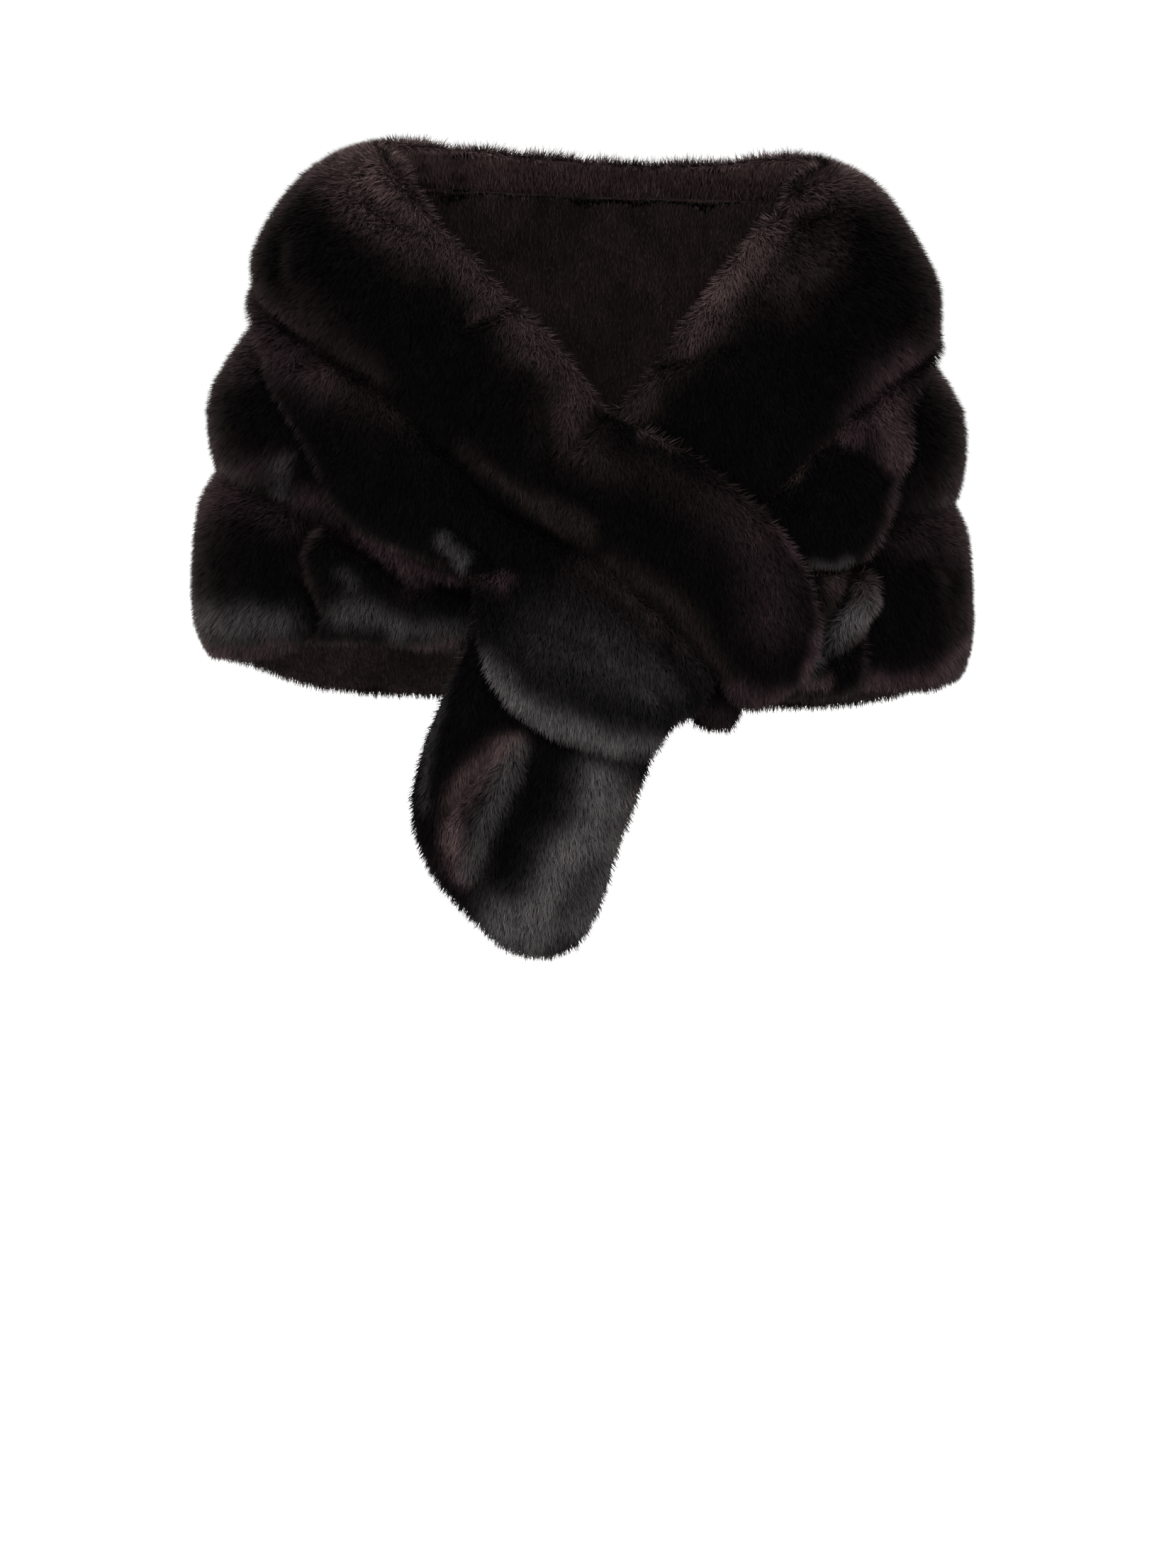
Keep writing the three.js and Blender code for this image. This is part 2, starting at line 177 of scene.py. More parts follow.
@dataclass(frozen=True)
class WornForm:
    """The surface that the stole hangs on, by height in millimetres."""

    heights: tuple[float, ...] = (
        -640, -420, -340, -260, -200, -160, -130, -100, -71, -36, -25, -14, -2, 8, 18, 30, 45, 60,
    )
    half_widths: tuple[float, ...] = (
        312, 312, 310, 304, 296, 287, 276, 259, 240, 216, 207, 197, 182, 165, 143, 112, 62, 30,
    )
    half_depths: tuple[float, ...] = (
        140, 140, 138, 134, 130, 126, 122, 116, 109, 99, 95, 90, 84, 78, 70, 60, 44, 30,
    )
    power: float = 2.3

    def sizes(self, height: Points) -> tuple[Points, Points]:
        """Half width and half depth at each height."""
        level = height / MM
        wide = np.interp(level, self.heights, self.half_widths) * MM
        deep = np.interp(level, self.heights, self.half_depths) * MM
        return wide, deep

    def outward(self, points: Points) -> Points:
        """The direction straight off the form at each point.

        Args:
            points: places in metres.

        Returns:
            Unit vectors.
        """
        step = 8 * MM
        x, y, z = points.T
        wide, deep = self.sizes(z)
        above, below = self.sizes(z + step), self.sizes(z - step)
        s, t = np.abs(x / wide), np.abs(y / deep)
        slope_wide = (above[0] - below[0]) / (2 * step)
        slope_deep = (above[1] - below[1]) / (2 * step)
        up = -(s**self.power * slope_wide / wide + t**self.power * slope_deep / deep)
        across = np.sign(x) * s ** (self.power - 1) / wide
        ahead = np.sign(y) * t ** (self.power - 1) / deep
        return unit(np.stack([across, ahead, up], axis=1))


FORM = WornForm()


@dataclass(frozen=True)
class Stroke:
    """A soft line over a row, for a patch of colour or a crease.

    Args:
        line: points (x, z) along it.
        width: how far its effect reaches to each side.
        side: the side of the stole that it is on.
    """

    line: tuple[Pair, ...]
    width: float
    side: Side = Side.FRONT

    def strength(self, points: Points) -> Points:
        """How strongly it acts at each point, from 0 to 1.

        Args:
            points: places in metres.

        Returns:
            One number for each point.
        """
        flat = points[:, [0, 2]]
        best = np.full(len(points), np.inf)
        line = np.array(self.line, float)
        if len(line) == 1:
            best = np.linalg.norm(flat - line[0], axis=1)
        for a, b in zip(line, line[1:]):
            run = b - a
            t = np.clip(((flat - a) @ run) / max(run @ run, 1e-12), 0, 1)
            best = np.minimum(best, np.linalg.norm(flat - a - t[:, None] * run, axis=1))
        seen = soft_step(-0.03, 0.03, self.side.value * points[:, 1])
        return np.exp(-((best / self.width) ** 2)) * seen


@dataclass(frozen=True)
class Patch(Stroke):
    """A stroke of colour."""

    tone: Tone = Tone.PLUM
    amount: float = 1.0


@dataclass(frozen=True)
class Crease(Stroke):
    """A stroke that lowers the pile, with painted shade, or raises it where the depth is negative.
    """

    depth: float = 3 * MM


def in_metres(line: tuple[Pair, ...]) -> tuple[Pair, ...]:
    """Points given in millimetres, in metres."""
    return tuple((x * MM, z * MM) for x, z in line)


def patch(tone: Tone, amount: float, width: float, *line: Pair, side: Side = Side.FRONT) -> Patch:
    """A stroke of colour, in millimetres."""
    return Patch(line=in_metres(line), width=width * MM, side=side, tone=tone, amount=amount)


sheen = partial(patch, Tone.SHEEN)
plum = partial(patch, Tone.PLUM)
brown = partial(patch, Tone.BROWN)
dark = partial(patch, Tone.DARK)


def crease(depth: float, width: float, *line: Pair) -> Crease:
    """A soft trough on the front, in millimetres, or a ridge where the depth is negative."""
    return Crease(line=in_metres(line), width=width * MM, depth=depth * MM)


@dataclass(frozen=True)
class Marks:
    """The strokes of one run of rows."""

    patches: tuple[Patch, ...] = ()
    creases: tuple[Crease, ...] = ()


@dataclass(frozen=True)
class Band:
    """A band of colour along a whole row.

    Args:
        at: share across the row where it lies.
        width: share of the row that it reaches to each side.
        tone: what it does to the colour.
        amount: how strongly.
    """

    at: float
    width: float
    tone: Tone
    amount: float


@dataclass(frozen=True)
class Pile:
    """The hair of a finish.

    Args:
        length: of a usual hair.
        width: at its root.
        lean: angle from upright towards the nap, in degrees.
        scatter: how much single hairs stray.
        tuft: how much hairs lean together in tufts.
        dense: hairs for each square metre.
    """

    length: float = 10.5 * MM
    width: float = 0.85 * MM
    lean: float = 40.0
    scatter: float = 0.27
    tuft: float = 0.28
    dense: float = 810_000.0


class Wires:
    """Adds the nodes of one tree, each with what it is given."""

    def __init__(self, tree: bpy.types.NodeTree) -> None:
        """Works on one tree."""
        self.tree = tree

    def node(
        self, kind: str, given: dict[int | str, object] | None = None, **settings: object
    ) -> Node:
        """Adds a node.

        Args:
            kind: the node's type.
            given: for each input, a socket to link or a plain value.
            settings: the node's own properties.

        Returns:
            The node.
        """
        made = self.tree.nodes.new(kind)
        for name, value in settings.items():
            setattr(made, name, value)
        for key, value in (given or {}).items():
            if isinstance(value, Socket):
                self.tree.links.new(value, made.inputs[key])
            else:
                made.inputs[key].default_value = value
        return made

    def scaled(self, vector: Socket | Triple, factor: Socket) -> Socket:
        """A vector or colour times a number."""
        given = {0: vector, "Scale": factor}
        return self.node("ShaderNodeVectorMath", given, operation="SCALE").outputs["Vector"]

    def summed(self, first: Socket, second: Socket) -> Socket:
        """Two vectors or colours together."""
        given = {0: first, 1: second}
        return self.node("ShaderNodeVectorMath", given, operation="ADD").outputs["Vector"]

    def sum(self, how: str, first: Socket | float, second: Socket | float = 0.0) -> Socket:
        """One sum on two numbers."""
        return self.node("ShaderNodeMath", {0: first, 1: second}, operation=how).outputs[0]


@dataclass(frozen=True)
class FurFinish:
    """The colours and gloss of one kind of pelt row."""

    name: str
    slot: str
    dark: Rgb
    plum: Rgb
    brown: Rgb
    # colour of the painted sheen
    grey: Rgb
    # painted glow: colour added to the hair where it is seen edge on, steeper by rim_power
    rim: Rgb = (0.070, 0.050, 0.048)
    rim_power: float = 4.0
    roughness: float = 0.6
    specular: float = 0.015
    grain: float = 420.0
    grain_height: float = 2 * MM
    grain_strength: float = 0.6
    pile: Pile = field(default_factory=Pile)

    def hair(self) -> bpy.types.Material:
        """The material of the pile."""
        return self._material(f"{self.name}_hair", on_skin=False)

    def skin(self) -> bpy.types.Material:
        """The material of the skin under the pile."""
        return self._material(f"{self.name}_skin", on_skin=True)

    def _material(self, name: str, on_skin: bool) -> bpy.types.Material:
        """Makes a fur material once, and gives it again when it is there.

        Args:
            name: what it is called.
            on_skin: whether it has the skin's grain, or is lit as hair.

        Returns:
            The material.
        """
        found = bpy.data.materials.get(name)
        if found is not None:
            return found
        made = bpy.data.materials.new(name)
        made.use_nodes = True
        wires = Wires(made.node_tree)
        shader = made.node_tree.nodes["Principled BSDF"]
        shader.inputs["Roughness"].default_value = self.roughness
        shader.inputs["Specular IOR Level"].default_value = self.specular
        colours = {"Dark": self.dark, "Plum": self.plum, "Brown": self.brown, "Grey": self.grey}
        tones = wires.node("ShaderNodeGroup", node_tree=ToneGroup.tree())
        for socket, colour in colours.items():
            tones.inputs[socket].default_value = (*colour, 1)
        look = self._grained if on_skin else self._lit
        colour, normal = look(wires, tones.outputs["Colour"])
        wires.tree.links.new(colour, shader.inputs["Base Color"])
        wires.tree.links.new(normal, shader.inputs["Normal"])
        return made

    def _grained(self, wires: Wires, colour: Socket) -> tuple[Socket, Socket]:
        """The colour and normal of a skin, which has the fine relief of short hair."""
        place = wires.node("ShaderNodeTexCoord")
        given = {"Vector": place.outputs["Object"], "Scale": self.grain, "Detail": 3.0}
        grain = wires.node("ShaderNodeTexNoise", given)
        given = {"Height": grain.outputs["Fac"], "Strength": self.grain_strength}
        relief = wires.node("ShaderNodeBump", {**given, "Distance": self.grain_height})
        return colour, relief.outputs["Normal"]

    def _lit(self, wires: Wires, colour: Socket) -> tuple[Socket, Socket]:
        """The colour and normal of a hair, lit by the lie of the pile, with painted edge glow."""
        lie = wires.node("ShaderNodeAttribute", attribute_name="hair_normal").outputs["Vector"]
        # painted glow: the rim colour is added where the hair is seen edge on
        edge = wires.node("ShaderNodeLayerWeight", {"Blend": 0.5, "Normal": lie})
        painted_glow = wires.sum("POWER", edge.outputs["Facing"], self.rim_power)
        return wires.summed(colour, wires.scaled(self.rim, painted_glow)), lie


class ToneGroup:
    """The colour of fur from a row's tones, painted shade from root to tip, and mottling."""

    NAME = "fur_tones"
    # painted shade: hairs darken towards the root, where the pile shades them; a skin, with no
    # tip, takes the root's shade
    ROOT_SHADE = (0.30, 1.0)  # brightness of a hair from root to tip
    STRAY = (0.60, 1.45)  # brightness from hair to hair
    MOTTLE = (0.55, 1.45)  # brightness from spot to spot
    MOTTLE_SCALE = (60.0, 60.0, 45.0)
    STREAK = (0.50, 1.50)  # brightness from tuft to tuft
    STREAK_SCALE = (330.0, 330.0, 110.0)

    @classmethod
    def tree(cls) -> bpy.types.NodeTree:
        """The node group, built once."""
        found = bpy.data.node_groups.get(cls.NAME)
        if found is not None:
            return found
        tree = bpy.data.node_groups.new(cls.NAME, "ShaderNodeTree")
        for name in ("Dark", "Plum", "Brown", "Grey"):
            tree.interface.new_socket(name, in_out="INPUT", socket_type="NodeSocketColor")
        tree.interface.new_socket("Colour", in_out="OUTPUT", socket_type="NodeSocketColor")
        wires = Wires(tree)
        given = wires.node("NodeGroupInput").outputs
        tone = wires.node("ShaderNodeAttribute", attribute_name="tone").outputs["Color"]
        amounts = wires.node("ShaderNodeSeparateColor", {"Color": tone}).outputs
        colour = given["Dark"]
        for name, channel in (("Plum", "Green"), ("Brown", "Blue"), ("Grey", "Red")):
            mixed = {0: amounts[channel], 6: colour, 7: given[name]}
            colour = wires.node("ShaderNodeMix", mixed, data_type="RGBA").outputs[2]
        for factor in (
            cls._ranged(wires, cls._number(wires, "tip"), cls.ROOT_SHADE),
            cls._ranged(wires, cls._number(wires, "strand"), cls.STRAY),
            cls._ranged(wires, cls._spots(wires, cls.MOTTLE_SCALE), cls.MOTTLE),
            cls._ranged(wires, cls._spots(wires, cls.STREAK_SCALE), cls.STREAK),
        ):
            colour = wires.scaled(colour, factor)
        wires.node("NodeGroupOutput", {"Colour": colour})
        return tree

    @staticmethod
    def _ranged(wires: Wires, value: Socket, reach: Pair) -> Socket:
        """Maps 0 to 1 onto a range."""
        given = {"Value": value, "To Min": reach[0], "To Max": reach[1]}
        return wires.node("ShaderNodeMapRange", given).outputs["Result"]

    @staticmethod
    def _number(wires: Wires, name: str) -> Socket:
        """A number kept on the hair or skin."""
        return wires.node("ShaderNodeAttribute", attribute_name=name).outputs["Fac"]

    @staticmethod
    def _spots(wires: Wires, scale: Triple) -> Socket:
        """Soft spots, as many in a metre along each axis as scale says."""
        place = wires.node("ShaderNodeTexCoord").outputs["Object"]
        stretched = wires.node("ShaderNodeVectorMath", {0: place, 1: scale}, operation="MULTIPLY")
        given = {"Vector": stretched.outputs["Vector"], "Scale": 1.0, "Detail": 1.5}
        return wires.node("ShaderNodeTexNoise", given).outputs["Fac"]


class HairNodes(Wires):
    """The node tree that grows hair blades on a skin."""

    NAME = "grow_hair"
    INPUTS = {
        "Skin": "NodeSocketGeometry",
        "Blade": "NodeSocketObject",
        "Dense": "NodeSocketFloat",
        "Length": "NodeSocketFloat",
        "Width": "NodeSocketFloat",
        "Lean": "NodeSocketFloat",
        "Scatter": "NodeSocketFloat",
        "Tuft": "NodeSocketFloat",
        "Seed": "NodeSocketInt",
    }
    LEAN_STRAY = 0.12  # radians that a hair's lean strays
    TUFTS = (48.0, 170.0)  # tufts in a metre, large and small
    WIDTHS = (0.75, 1.25)  # shares of the usual width
    LENGTHS = (0.70, 1.12)  # shares of the usual length

    def __init__(self) -> None:
        """Builds the tree with its inputs."""
        super().__init__(bpy.data.node_groups.new(self.NAME, "GeometryNodeTree"))
        sockets = self.tree.interface
        self.keys = {
            name: sockets.new_socket(name, in_out="INPUT", socket_type=kind).identifier
            for name, kind in self.INPUTS.items()
        }
        sockets.new_socket("Hair", in_out="OUTPUT", socket_type="NodeSocketGeometry")
        self.given = self.node("NodeGroupInput").outputs
        self._build()

    def _named(self, name: str, kind: str = "FLOAT_VECTOR") -> Socket:
        """Reads an attribute of the skin."""
        made = self.node("GeometryNodeInputNamedAttribute", {"Name": name}, data_type=kind)
        return made.outputs["Attribute"]

    def _random(self, low: float, high: float, seed: int) -> Socket:
        """A number drawn for each hair."""
        given = {2: low, 3: high, "Seed": seed}
        return self.node("FunctionNodeRandomValue", given, data_type="FLOAT").outputs[1]

    def _stray(self) -> Socket:
        """A vector drawn for each hair."""
        given = {0: (-1, -1, -1), 1: (1, 1, 1), "Seed": 3}
        return self.node("FunctionNodeRandomValue", given, data_type="FLOAT_VECTOR").outputs[0]

    def _tufting(self, scale: float) -> Socket:
        """A vector that changes slowly over the skin, so hairs lean together."""
        place = self.node("GeometryNodeInputPosition").outputs["Position"]
        waves = self.node("ShaderNodeTexNoise", {"Vector": place, "Scale": scale, "Detail": 2.0})
        given = {0: waves.outputs["Color"], 1: (0.5, 0.5, 0.5)}
        return self.node("ShaderNodeVectorMath", given, operation="SUBTRACT").outputs["Vector"]

    def _unit(self, vector: Socket) -> Socket:
        """The vector at length 1."""
        made = self.node("ShaderNodeVectorMath", {0: vector}, operation="NORMALIZE")
        return made.outputs["Vector"]

    def _store(self, flow: Socket, name: str, value: Socket, kind: str = "FLOAT_VECTOR") -> Socket:
        """Keeps a value on the geometry under a name."""
        given = {"Geometry": flow, "Name": name, "Value": value}
        settings = {"data_type": kind, "domain": "POINT"}
        return self.node("GeometryNodeStoreNamedAttribute", given, **settings).outputs["Geometry"]

    def _direction(self) -> Socket:
        """Which way each hair grows."""
        stray = self._random(-self.LEAN_STRAY, self.LEAN_STRAY, 5)
        lean = self.sum("ADD", self.given["Lean"], stray)
        lean = self.sum("MULTIPLY", lean, self._named("lean", "FLOAT"))
        upright = self.scaled(self._named("skin_normal"), self.sum("COSINE", lean))
        leaning = self.scaled(self._named("nap"), self.sum("SINE", lean))
        way = self.summed(upright, leaning)
        way = self.summed(way, self.scaled(self._stray(), self.given["Scatter"]))
        for scale in self.TUFTS:
            way = self.summed(way, self.scaled(self._tufting(scale), self.given["Tuft"]))
        return self._unit(way)

    def _turned(self, way: Socket, normal: Socket) -> Socket:
        """The rotation that stands a blade along its way, with a twist of its own."""
        given = {"Primary Axis": way, "Secondary Axis": normal}
        axes = {"primary_axis": "Z", "secondary_axis": "Y"}
        frame = self.node("FunctionNodeAxesToRotation", given, **axes)
        given = {"Axis": (0, 0, 1), "Angle": self._random(-1.0, 1.0, 17)}
        twist = self.node("FunctionNodeAxisAngleToRotation", given)
        given = {"Rotation": frame.outputs["Rotation"], "Rotate By": twist.outputs["Rotation"]}
        turned = self.node("FunctionNodeRotateRotation", given, rotation_space="LOCAL")
        return turned.outputs["Rotation"]

    def _size(self) -> Socket:
        """The width and length of each blade."""
        wide = self.sum("MULTIPLY", self.given["Width"], self._random(*self.WIDTHS, 23))
        tall = self.sum("MULTIPLY", self.given["Length"], self._random(*self.LENGTHS, 29))
        tall = self.sum("MULTIPLY", tall, self._named("hair", "FLOAT"))
        size = self.node("ShaderNodeCombineXYZ", {"X": wide, "Y": 1.0, "Z": tall})
        return size.outputs["Vector"]

    def _build(self) -> None:
        """Wires the whole tree."""
        dense = self.sum("MULTIPLY", self.given["Dense"], self._named("pile", "FLOAT"))
        given = {"Mesh": self.given["Skin"], "Density": dense, "Seed": self.given["Seed"]}
        method = {"distribute_method": "RANDOM"}
        scatter = self.node("GeometryNodeDistributePointsOnFaces", given, **method)
        flow = self._store(scatter.outputs["Points"], "grows", self._direction())
        way = self._named("grows")
        normal = self._named("skin_normal")
        lit = self._unit(self.summed(self.summed(normal, normal), way))
        flow = self._store(flow, "hair_normal", lit)
        flow = self._store(flow, "strand", self._random(0.0, 1.0, 11), "FLOAT")
        blade = self.node("GeometryNodeObjectInfo", {"Object": self.given["Blade"]})
        given = {
            "Points": flow,
            "Instance": blade.outputs["Geometry"],
            "Rotation": self._turned(way, normal),
            "Scale": self._size(),
        }
        placed = self.node("GeometryNodeInstanceOnPoints", given).outputs["Instances"]
        real = self.node("GeometryNodeRealizeInstances", {"Geometry": placed})
        self.node("NodeGroupOutput", {"Hair": real.outputs["Geometry"]})


class Barber:
    """Grows the pile of every row with one node tree and one blade."""

    SPARE = ("pile", "nap", "lean", "hair", "grows", "skin_normal")

    def __init__(self) -> None:
        """Makes the node tree and the blade."""
        self.nodes = HairNodes()
        self.blade = self._blade()

    @staticmethod
    def _blade() -> Object:
        """One hair, a tapering blade one long and one wide, with its tip marked."""
        bm = bmesh.new()
        tip = bm.verts.layers.float.new("tip")
        corners = [bm.verts.new(place) for place in ((0.5, 0, 0), (-0.5, 0, 0), (0, 0, 1))]
        corners[2][tip] = 1.0
        bm.faces.new(corners)
        mesh = bpy.data.meshes.new("hair_blade")
        bm.to_mesh(mesh)
        bm.free()
        made = bpy.data.objects.new("hair_blade", mesh)
        bpy.context.scene.collection.objects.link(made)
        return made

    def grow(self, skin: Object, pile: Pile, seed: int, thin: float) -> Object:
        """Grows the pile of one row.

        Args:
            skin: what it grows from.
            pile: how its hairs are.
            seed: draws other hairs for each row.
            thin: share of the hairs that are grown.

        Returns:
            The pile, as one mesh of its own.
        """
        made = bpy.data.objects.new(skin.name.replace("_skin", "_pile"), skin.data)
        bpy.context.scene.collection.objects.link(made)
        growing = made.modifiers.new("growing", "NODES")
        growing.node_group = self.nodes.tree
        values = {
            "Blade": self.blade,
            "Dense": pile.dense * thin,
            "Length": pile.length,
            "Width": pile.width / math.sqrt(thin),
            "Lean": math.radians(pile.lean),
            "Scatter": pile.scatter,
            "Tuft": pile.tuft,
            "Seed": seed,
        }
        for name, value in values.items():
            growing[self.nodes.keys[name]] = value
        bpy.context.view_layer.update()
        graph = bpy.context.evaluated_depsgraph_get()
        mesh = bpy.data.meshes.new_from_object(made.evaluated_get(graph), depsgraph=graph)
        made.modifiers.clear()
        made.data = mesh
        mesh.name = made.name
        for name in self.SPARE:
            if name in mesh.attributes:
                mesh.attributes.remove(mesh.attributes[name])
        return made

    def put_away(self) -> None:
        """Removes the blade and the tree once all rows are grown."""
        bpy.data.objects.remove(self.blade)
        bpy.data.node_groups.remove(self.nodes.tree)


class Neighbours:
    """All the frame's rows but one, for what lies against or over it."""

    def __init__(self, nodes: dict[str, Object], leave_out: str) -> None:
        """Gathers the other rows' faces."""
        places: list[Vector] = []
        faces: list[tuple[int, ...]] = []
        self.owner: list[str] = []
        for name, node in nodes.items():
            if name == leave_out:
                continue
            first = len(places)
            places += [v.co.copy() for v in node.data.vertices]
            for face in node.data.polygons:
                faces.append(tuple(first + i for i in face.vertices))
                self.owner.append(name)
        self.tree = BVHTree.FromPolygons(places, faces)

    def meet(self, start: Points, way: Points, reach: float) -> tuple[float, str]:
        """How far a ray goes before another row, and which one it meets."""
        _, _, index, far = self.tree.ray_cast(Vector(start), Vector(way), reach)
        return (FAR, "") if index is None else (far, self.owner[index])


LONG_WAVES = Waves(2.2 * MM, 15, 3.1)  # of the skin
SHORT_WAVES = Waves(1.3 * MM, 38, 8.4)
SEAM_SWAY = Waves(14 * MM, 9, 5.2)  # of the joins between pelts
RAGGED = Waves(0.16, 60, 12.5)  # share of the hair's length
BAND_DRIFT = Waves(0.07, 11, 21.0)  # share across the row
FLECKS = Waves(0.55, 26, 30.0)  # share of a colour's amount
PELT_SEAM_DEPTH = 3.2 * MM
PELT_SEAM_WIDTH = 11 * MM
FRONT_ENDS = (68, 92)  # bearings between which the front gives way to the side, in degrees
CREASE_SHADE = 0.5  # share of its colours that a crease takes
LOOK_AWAY = 60 * MM  # how far a covering row is looked for
RIM_INSIDE = 2.5  # how much denser the inner half of a sewn rim is than the inner side


@dataclass
class PeltRow:
    """One row of pelts: a skin made from a copy of its solid, and the pile on it.

    Args:
        name: the frame's node.
        flat: width and length of its flat cut; not used.
        joins: rows that carry it on without a fold.
        rests_on: what it lies on; not used.
        level: how often its skin is subdivided.
        across: how the share across it is measured.
        bands: colours along the whole of it.
        marks: colours in places, and soft troughs and ridges.
        inner_marks: colours in places on its inner side.
        pelt_seams: bearings of the joins between its pelts.
        inside: share of the full pile on its inner side.
        inner_brown: how brown its inner side is.
        sink: how far the skin lies below the solid's outer face.
        inset: how far a free rim draws back from the solid's.
        held: how the cloth is held; not used.
    """

    name: str
    flat: Pair
    joins: tuple[str, ...] = ()
    rests_on: tuple[str, ...] = ()
    level: int = 1
    across: Across = Across.BY_BEARING
    bands: tuple[Band, ...] = ()
    marks: Marks = Marks()
    inner_marks: Marks = Marks()
    pelt_seams: tuple[float, ...] = ()
    inside: float = 0.12
    inner_brown: float = 0.28
    sink: float = 5.5 * MM
    inset: float = 5 * MM
    held: str = "draped"

    def make(
        self,
        nodes: dict[str, Object],
        finish: FurFinish,
        barber: Barber,
        seed: int,
        thin: float,
    ) -> None:
        """Args:
            nodes: the frame's nodes.
            finish: its colours and pile.
            barber: grows the pile.
            seed: draws its own hairs.
            thin: share of the hairs that are grown.
        """
        others = Neighbours(nodes, self.name)
        skin = self._soft_copy(nodes[self.name], others)
        self._shape(skin, others)
        skin.data.materials.append(finish.skin())
        pile = barber.grow(skin, finish.pile, seed, thin)
        pile.data.materials.clear()
        pile.data.materials.append(finish.hair())
        for spare in Barber.SPARE:
            if spare in skin.data.attributes:
                skin.data.attributes.remove(skin.data.attributes[spare])
        for piece in (skin, pile):
            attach(piece, "root")
        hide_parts(self.name)
        area = sum(face.area for face in skin.data.polygons) / 2
        LOG.info(
            "%s: skin %d faces, %.4f m2, pile %d hairs",
            self.name,
            len(skin.data.polygons),
            area,
            len(pile.data.polygons),
        )

    def _soft_copy(self, node: Object, others: Neighbours) -> Object:
        """A merged and subdivided copy of the solid.

        Args:
            node: the frame's row.
            others: the rows round it.

        Returns:
            The skin, still at full size.
        """
        bm = bmesh.new()
        bm.from_mesh(node.data)
        bmesh.ops.remove_doubles(bm, verts=bm.verts, dist=0.02 * MM)
        bmesh.ops.join_triangles(
            bm,
            faces=bm.faces,
            angle_face_threshold=math.radians(50),
            angle_shape_threshold=math.radians(60),
        )
        layers = bm.edges.layers.float
        sharp = layers.get("crease_edge") or layers.new("crease_edge")
        ends = {
            face
            for face in bm.faces
            if others.meet(face.calc_center_median(), face.normal, 1 * MM)[1] in self.joins
        }
        for edge in bm.edges:
            if len(ends.intersection(edge.link_faces)) == 1:
                edge[sharp] = 1.0
        mesh = bpy.data.meshes.new(f"{self.name}_skin")
        bm.to_mesh(mesh)
        bm.free()
        skin = bpy.data.objects.new(f"{self.name}_skin", mesh)
        bpy.context.scene.collection.objects.link(skin)
        soften = skin.modifiers.new("soften", "SUBSURF")
        soften.levels = soften.render_levels = self.level
        bpy.context.view_layer.update()
        graph = bpy.context.evaluated_depsgraph_get()
        skin.data = bpy.data.meshes.new_from_object(skin.evaluated_get(graph), depsgraph=graph)
        skin.data.name = skin.name
        skin.modifiers.clear()
        bpy.data.meshes.remove(mesh)
        for face in skin.data.polygons:
            face.use_smooth = True
        return skin

    def _shape(self, skin: Object, others: Neighbours) -> None:
        """Sinks the skin below the solid, lays its creases, and keeps what the pile grows by."""
        mesh = skin.data
        places = read(mesh.vertices, "co", 3)
        centres = read(mesh.polygons, "center", 3)
        normals = read(mesh.polygons, "normal", 3)
        facing = dot(normals, FORM.outward(centres))
        room, sewn = self._room(mesh, centres, normals, facing, others)
        off = FORM.outward(places)
        turned = self._point_normals(mesh, sewn)
        outer = dot(turned, off)
        places -= off * (self.sink * soft_step(-0.3, 0.5, outer))[:, None]
        aside = turned - outer[:, None] * off
        free = self._free(mesh, sewn)
        places -= aside * (self.inset * free * soft_step(0.3, 0.9, 1 - np.abs(outer)))[:, None]
        places[:, 2] += SEAM_PRESS * (1 - free) * self._point_normals(mesh, ~sewn)[:, 2]
        swell = soft_step(-0.2, 0.6, outer)
        places += off * (swell * self._relief(places))[:, None]
        mesh.vertices.foreach_set("co", places.astype(np.float32).ravel())
        mesh.update()
        lie = self._point_normals(mesh, sewn)
        self._keep(mesh, "pile", "FLOAT", "value", room)
        self._keep(mesh, "skin_normal", "FLOAT_VECTOR", "vector", lie)
        self._keep(mesh, "nap", "FLOAT_VECTOR", "vector", self._nap(places, lie))
        self._keep(mesh, "lean", "FLOAT", "value", self._lean(outer))
        self._keep(mesh, "hair", "FLOAT", "value", self._hair(places, outer))
        self._keep(mesh, "tone", "FLOAT_COLOR", "color", self._tones(places, outer))

    def _room(
        self, mesh: Mesh, centres: Points, normals: Points, facing: Points, others: Neighbours
    ) -> tuple[Points, Points]:
        """How much pile each face has room for, and which faces are sewn to another row.

        Args:
            mesh: the skin.
            centres: middle of each face.
            normals: which way each face looks.
            facing: how far it looks outwards.
            others: the rows round this one.

        Returns:
            Share of the full pile at each vertex, and a mask of sewn faces.
        """
        share = np.ones(len(centres))
        sewn = np.zeros(len(centres), bool)
        off = FORM.outward(centres)
        outer_side = self._side(mesh, facing > OUTER_FACING)
        inner_side = self._side(mesh, facing < -OUTER_FACING)
        for i, turn in enumerate(facing):
            near = others.meet(centres[i], normals[i], SEWN_REACH)[0] < FAR
            side = -1.0 if turn < -OUTER_FACING else 1.0
            above = others.meet(centres[i] + side * off[i] * MM, side * off[i], LOOK_AWAY)[0]
            share[i] = soft_step(COVERED_FROM, COVERED_TO, np.array(above))
            sewn[i] = near and above > COVERED_TO
            if abs(turn) <= OUTER_FACING and near:
                sewn[i] = True
                place = Vector(centres[i])
                if outer_side.find_nearest(place)[3] > inner_side.find_nearest(place)[3]:
                    below = others.meet(centres[i] - off[i] * MM, -off[i], LOOK_AWAY)[0]
                    share[i] = soft_step(COVERED_FROM, COVERED_TO, np.array(below))
                    share[i] *= min(1.0, RIM_INSIDE * self.inside)
            elif turn < -OUTER_FACING:
                share[i] *= self.inside
        return self._evened(mesh, share), sewn

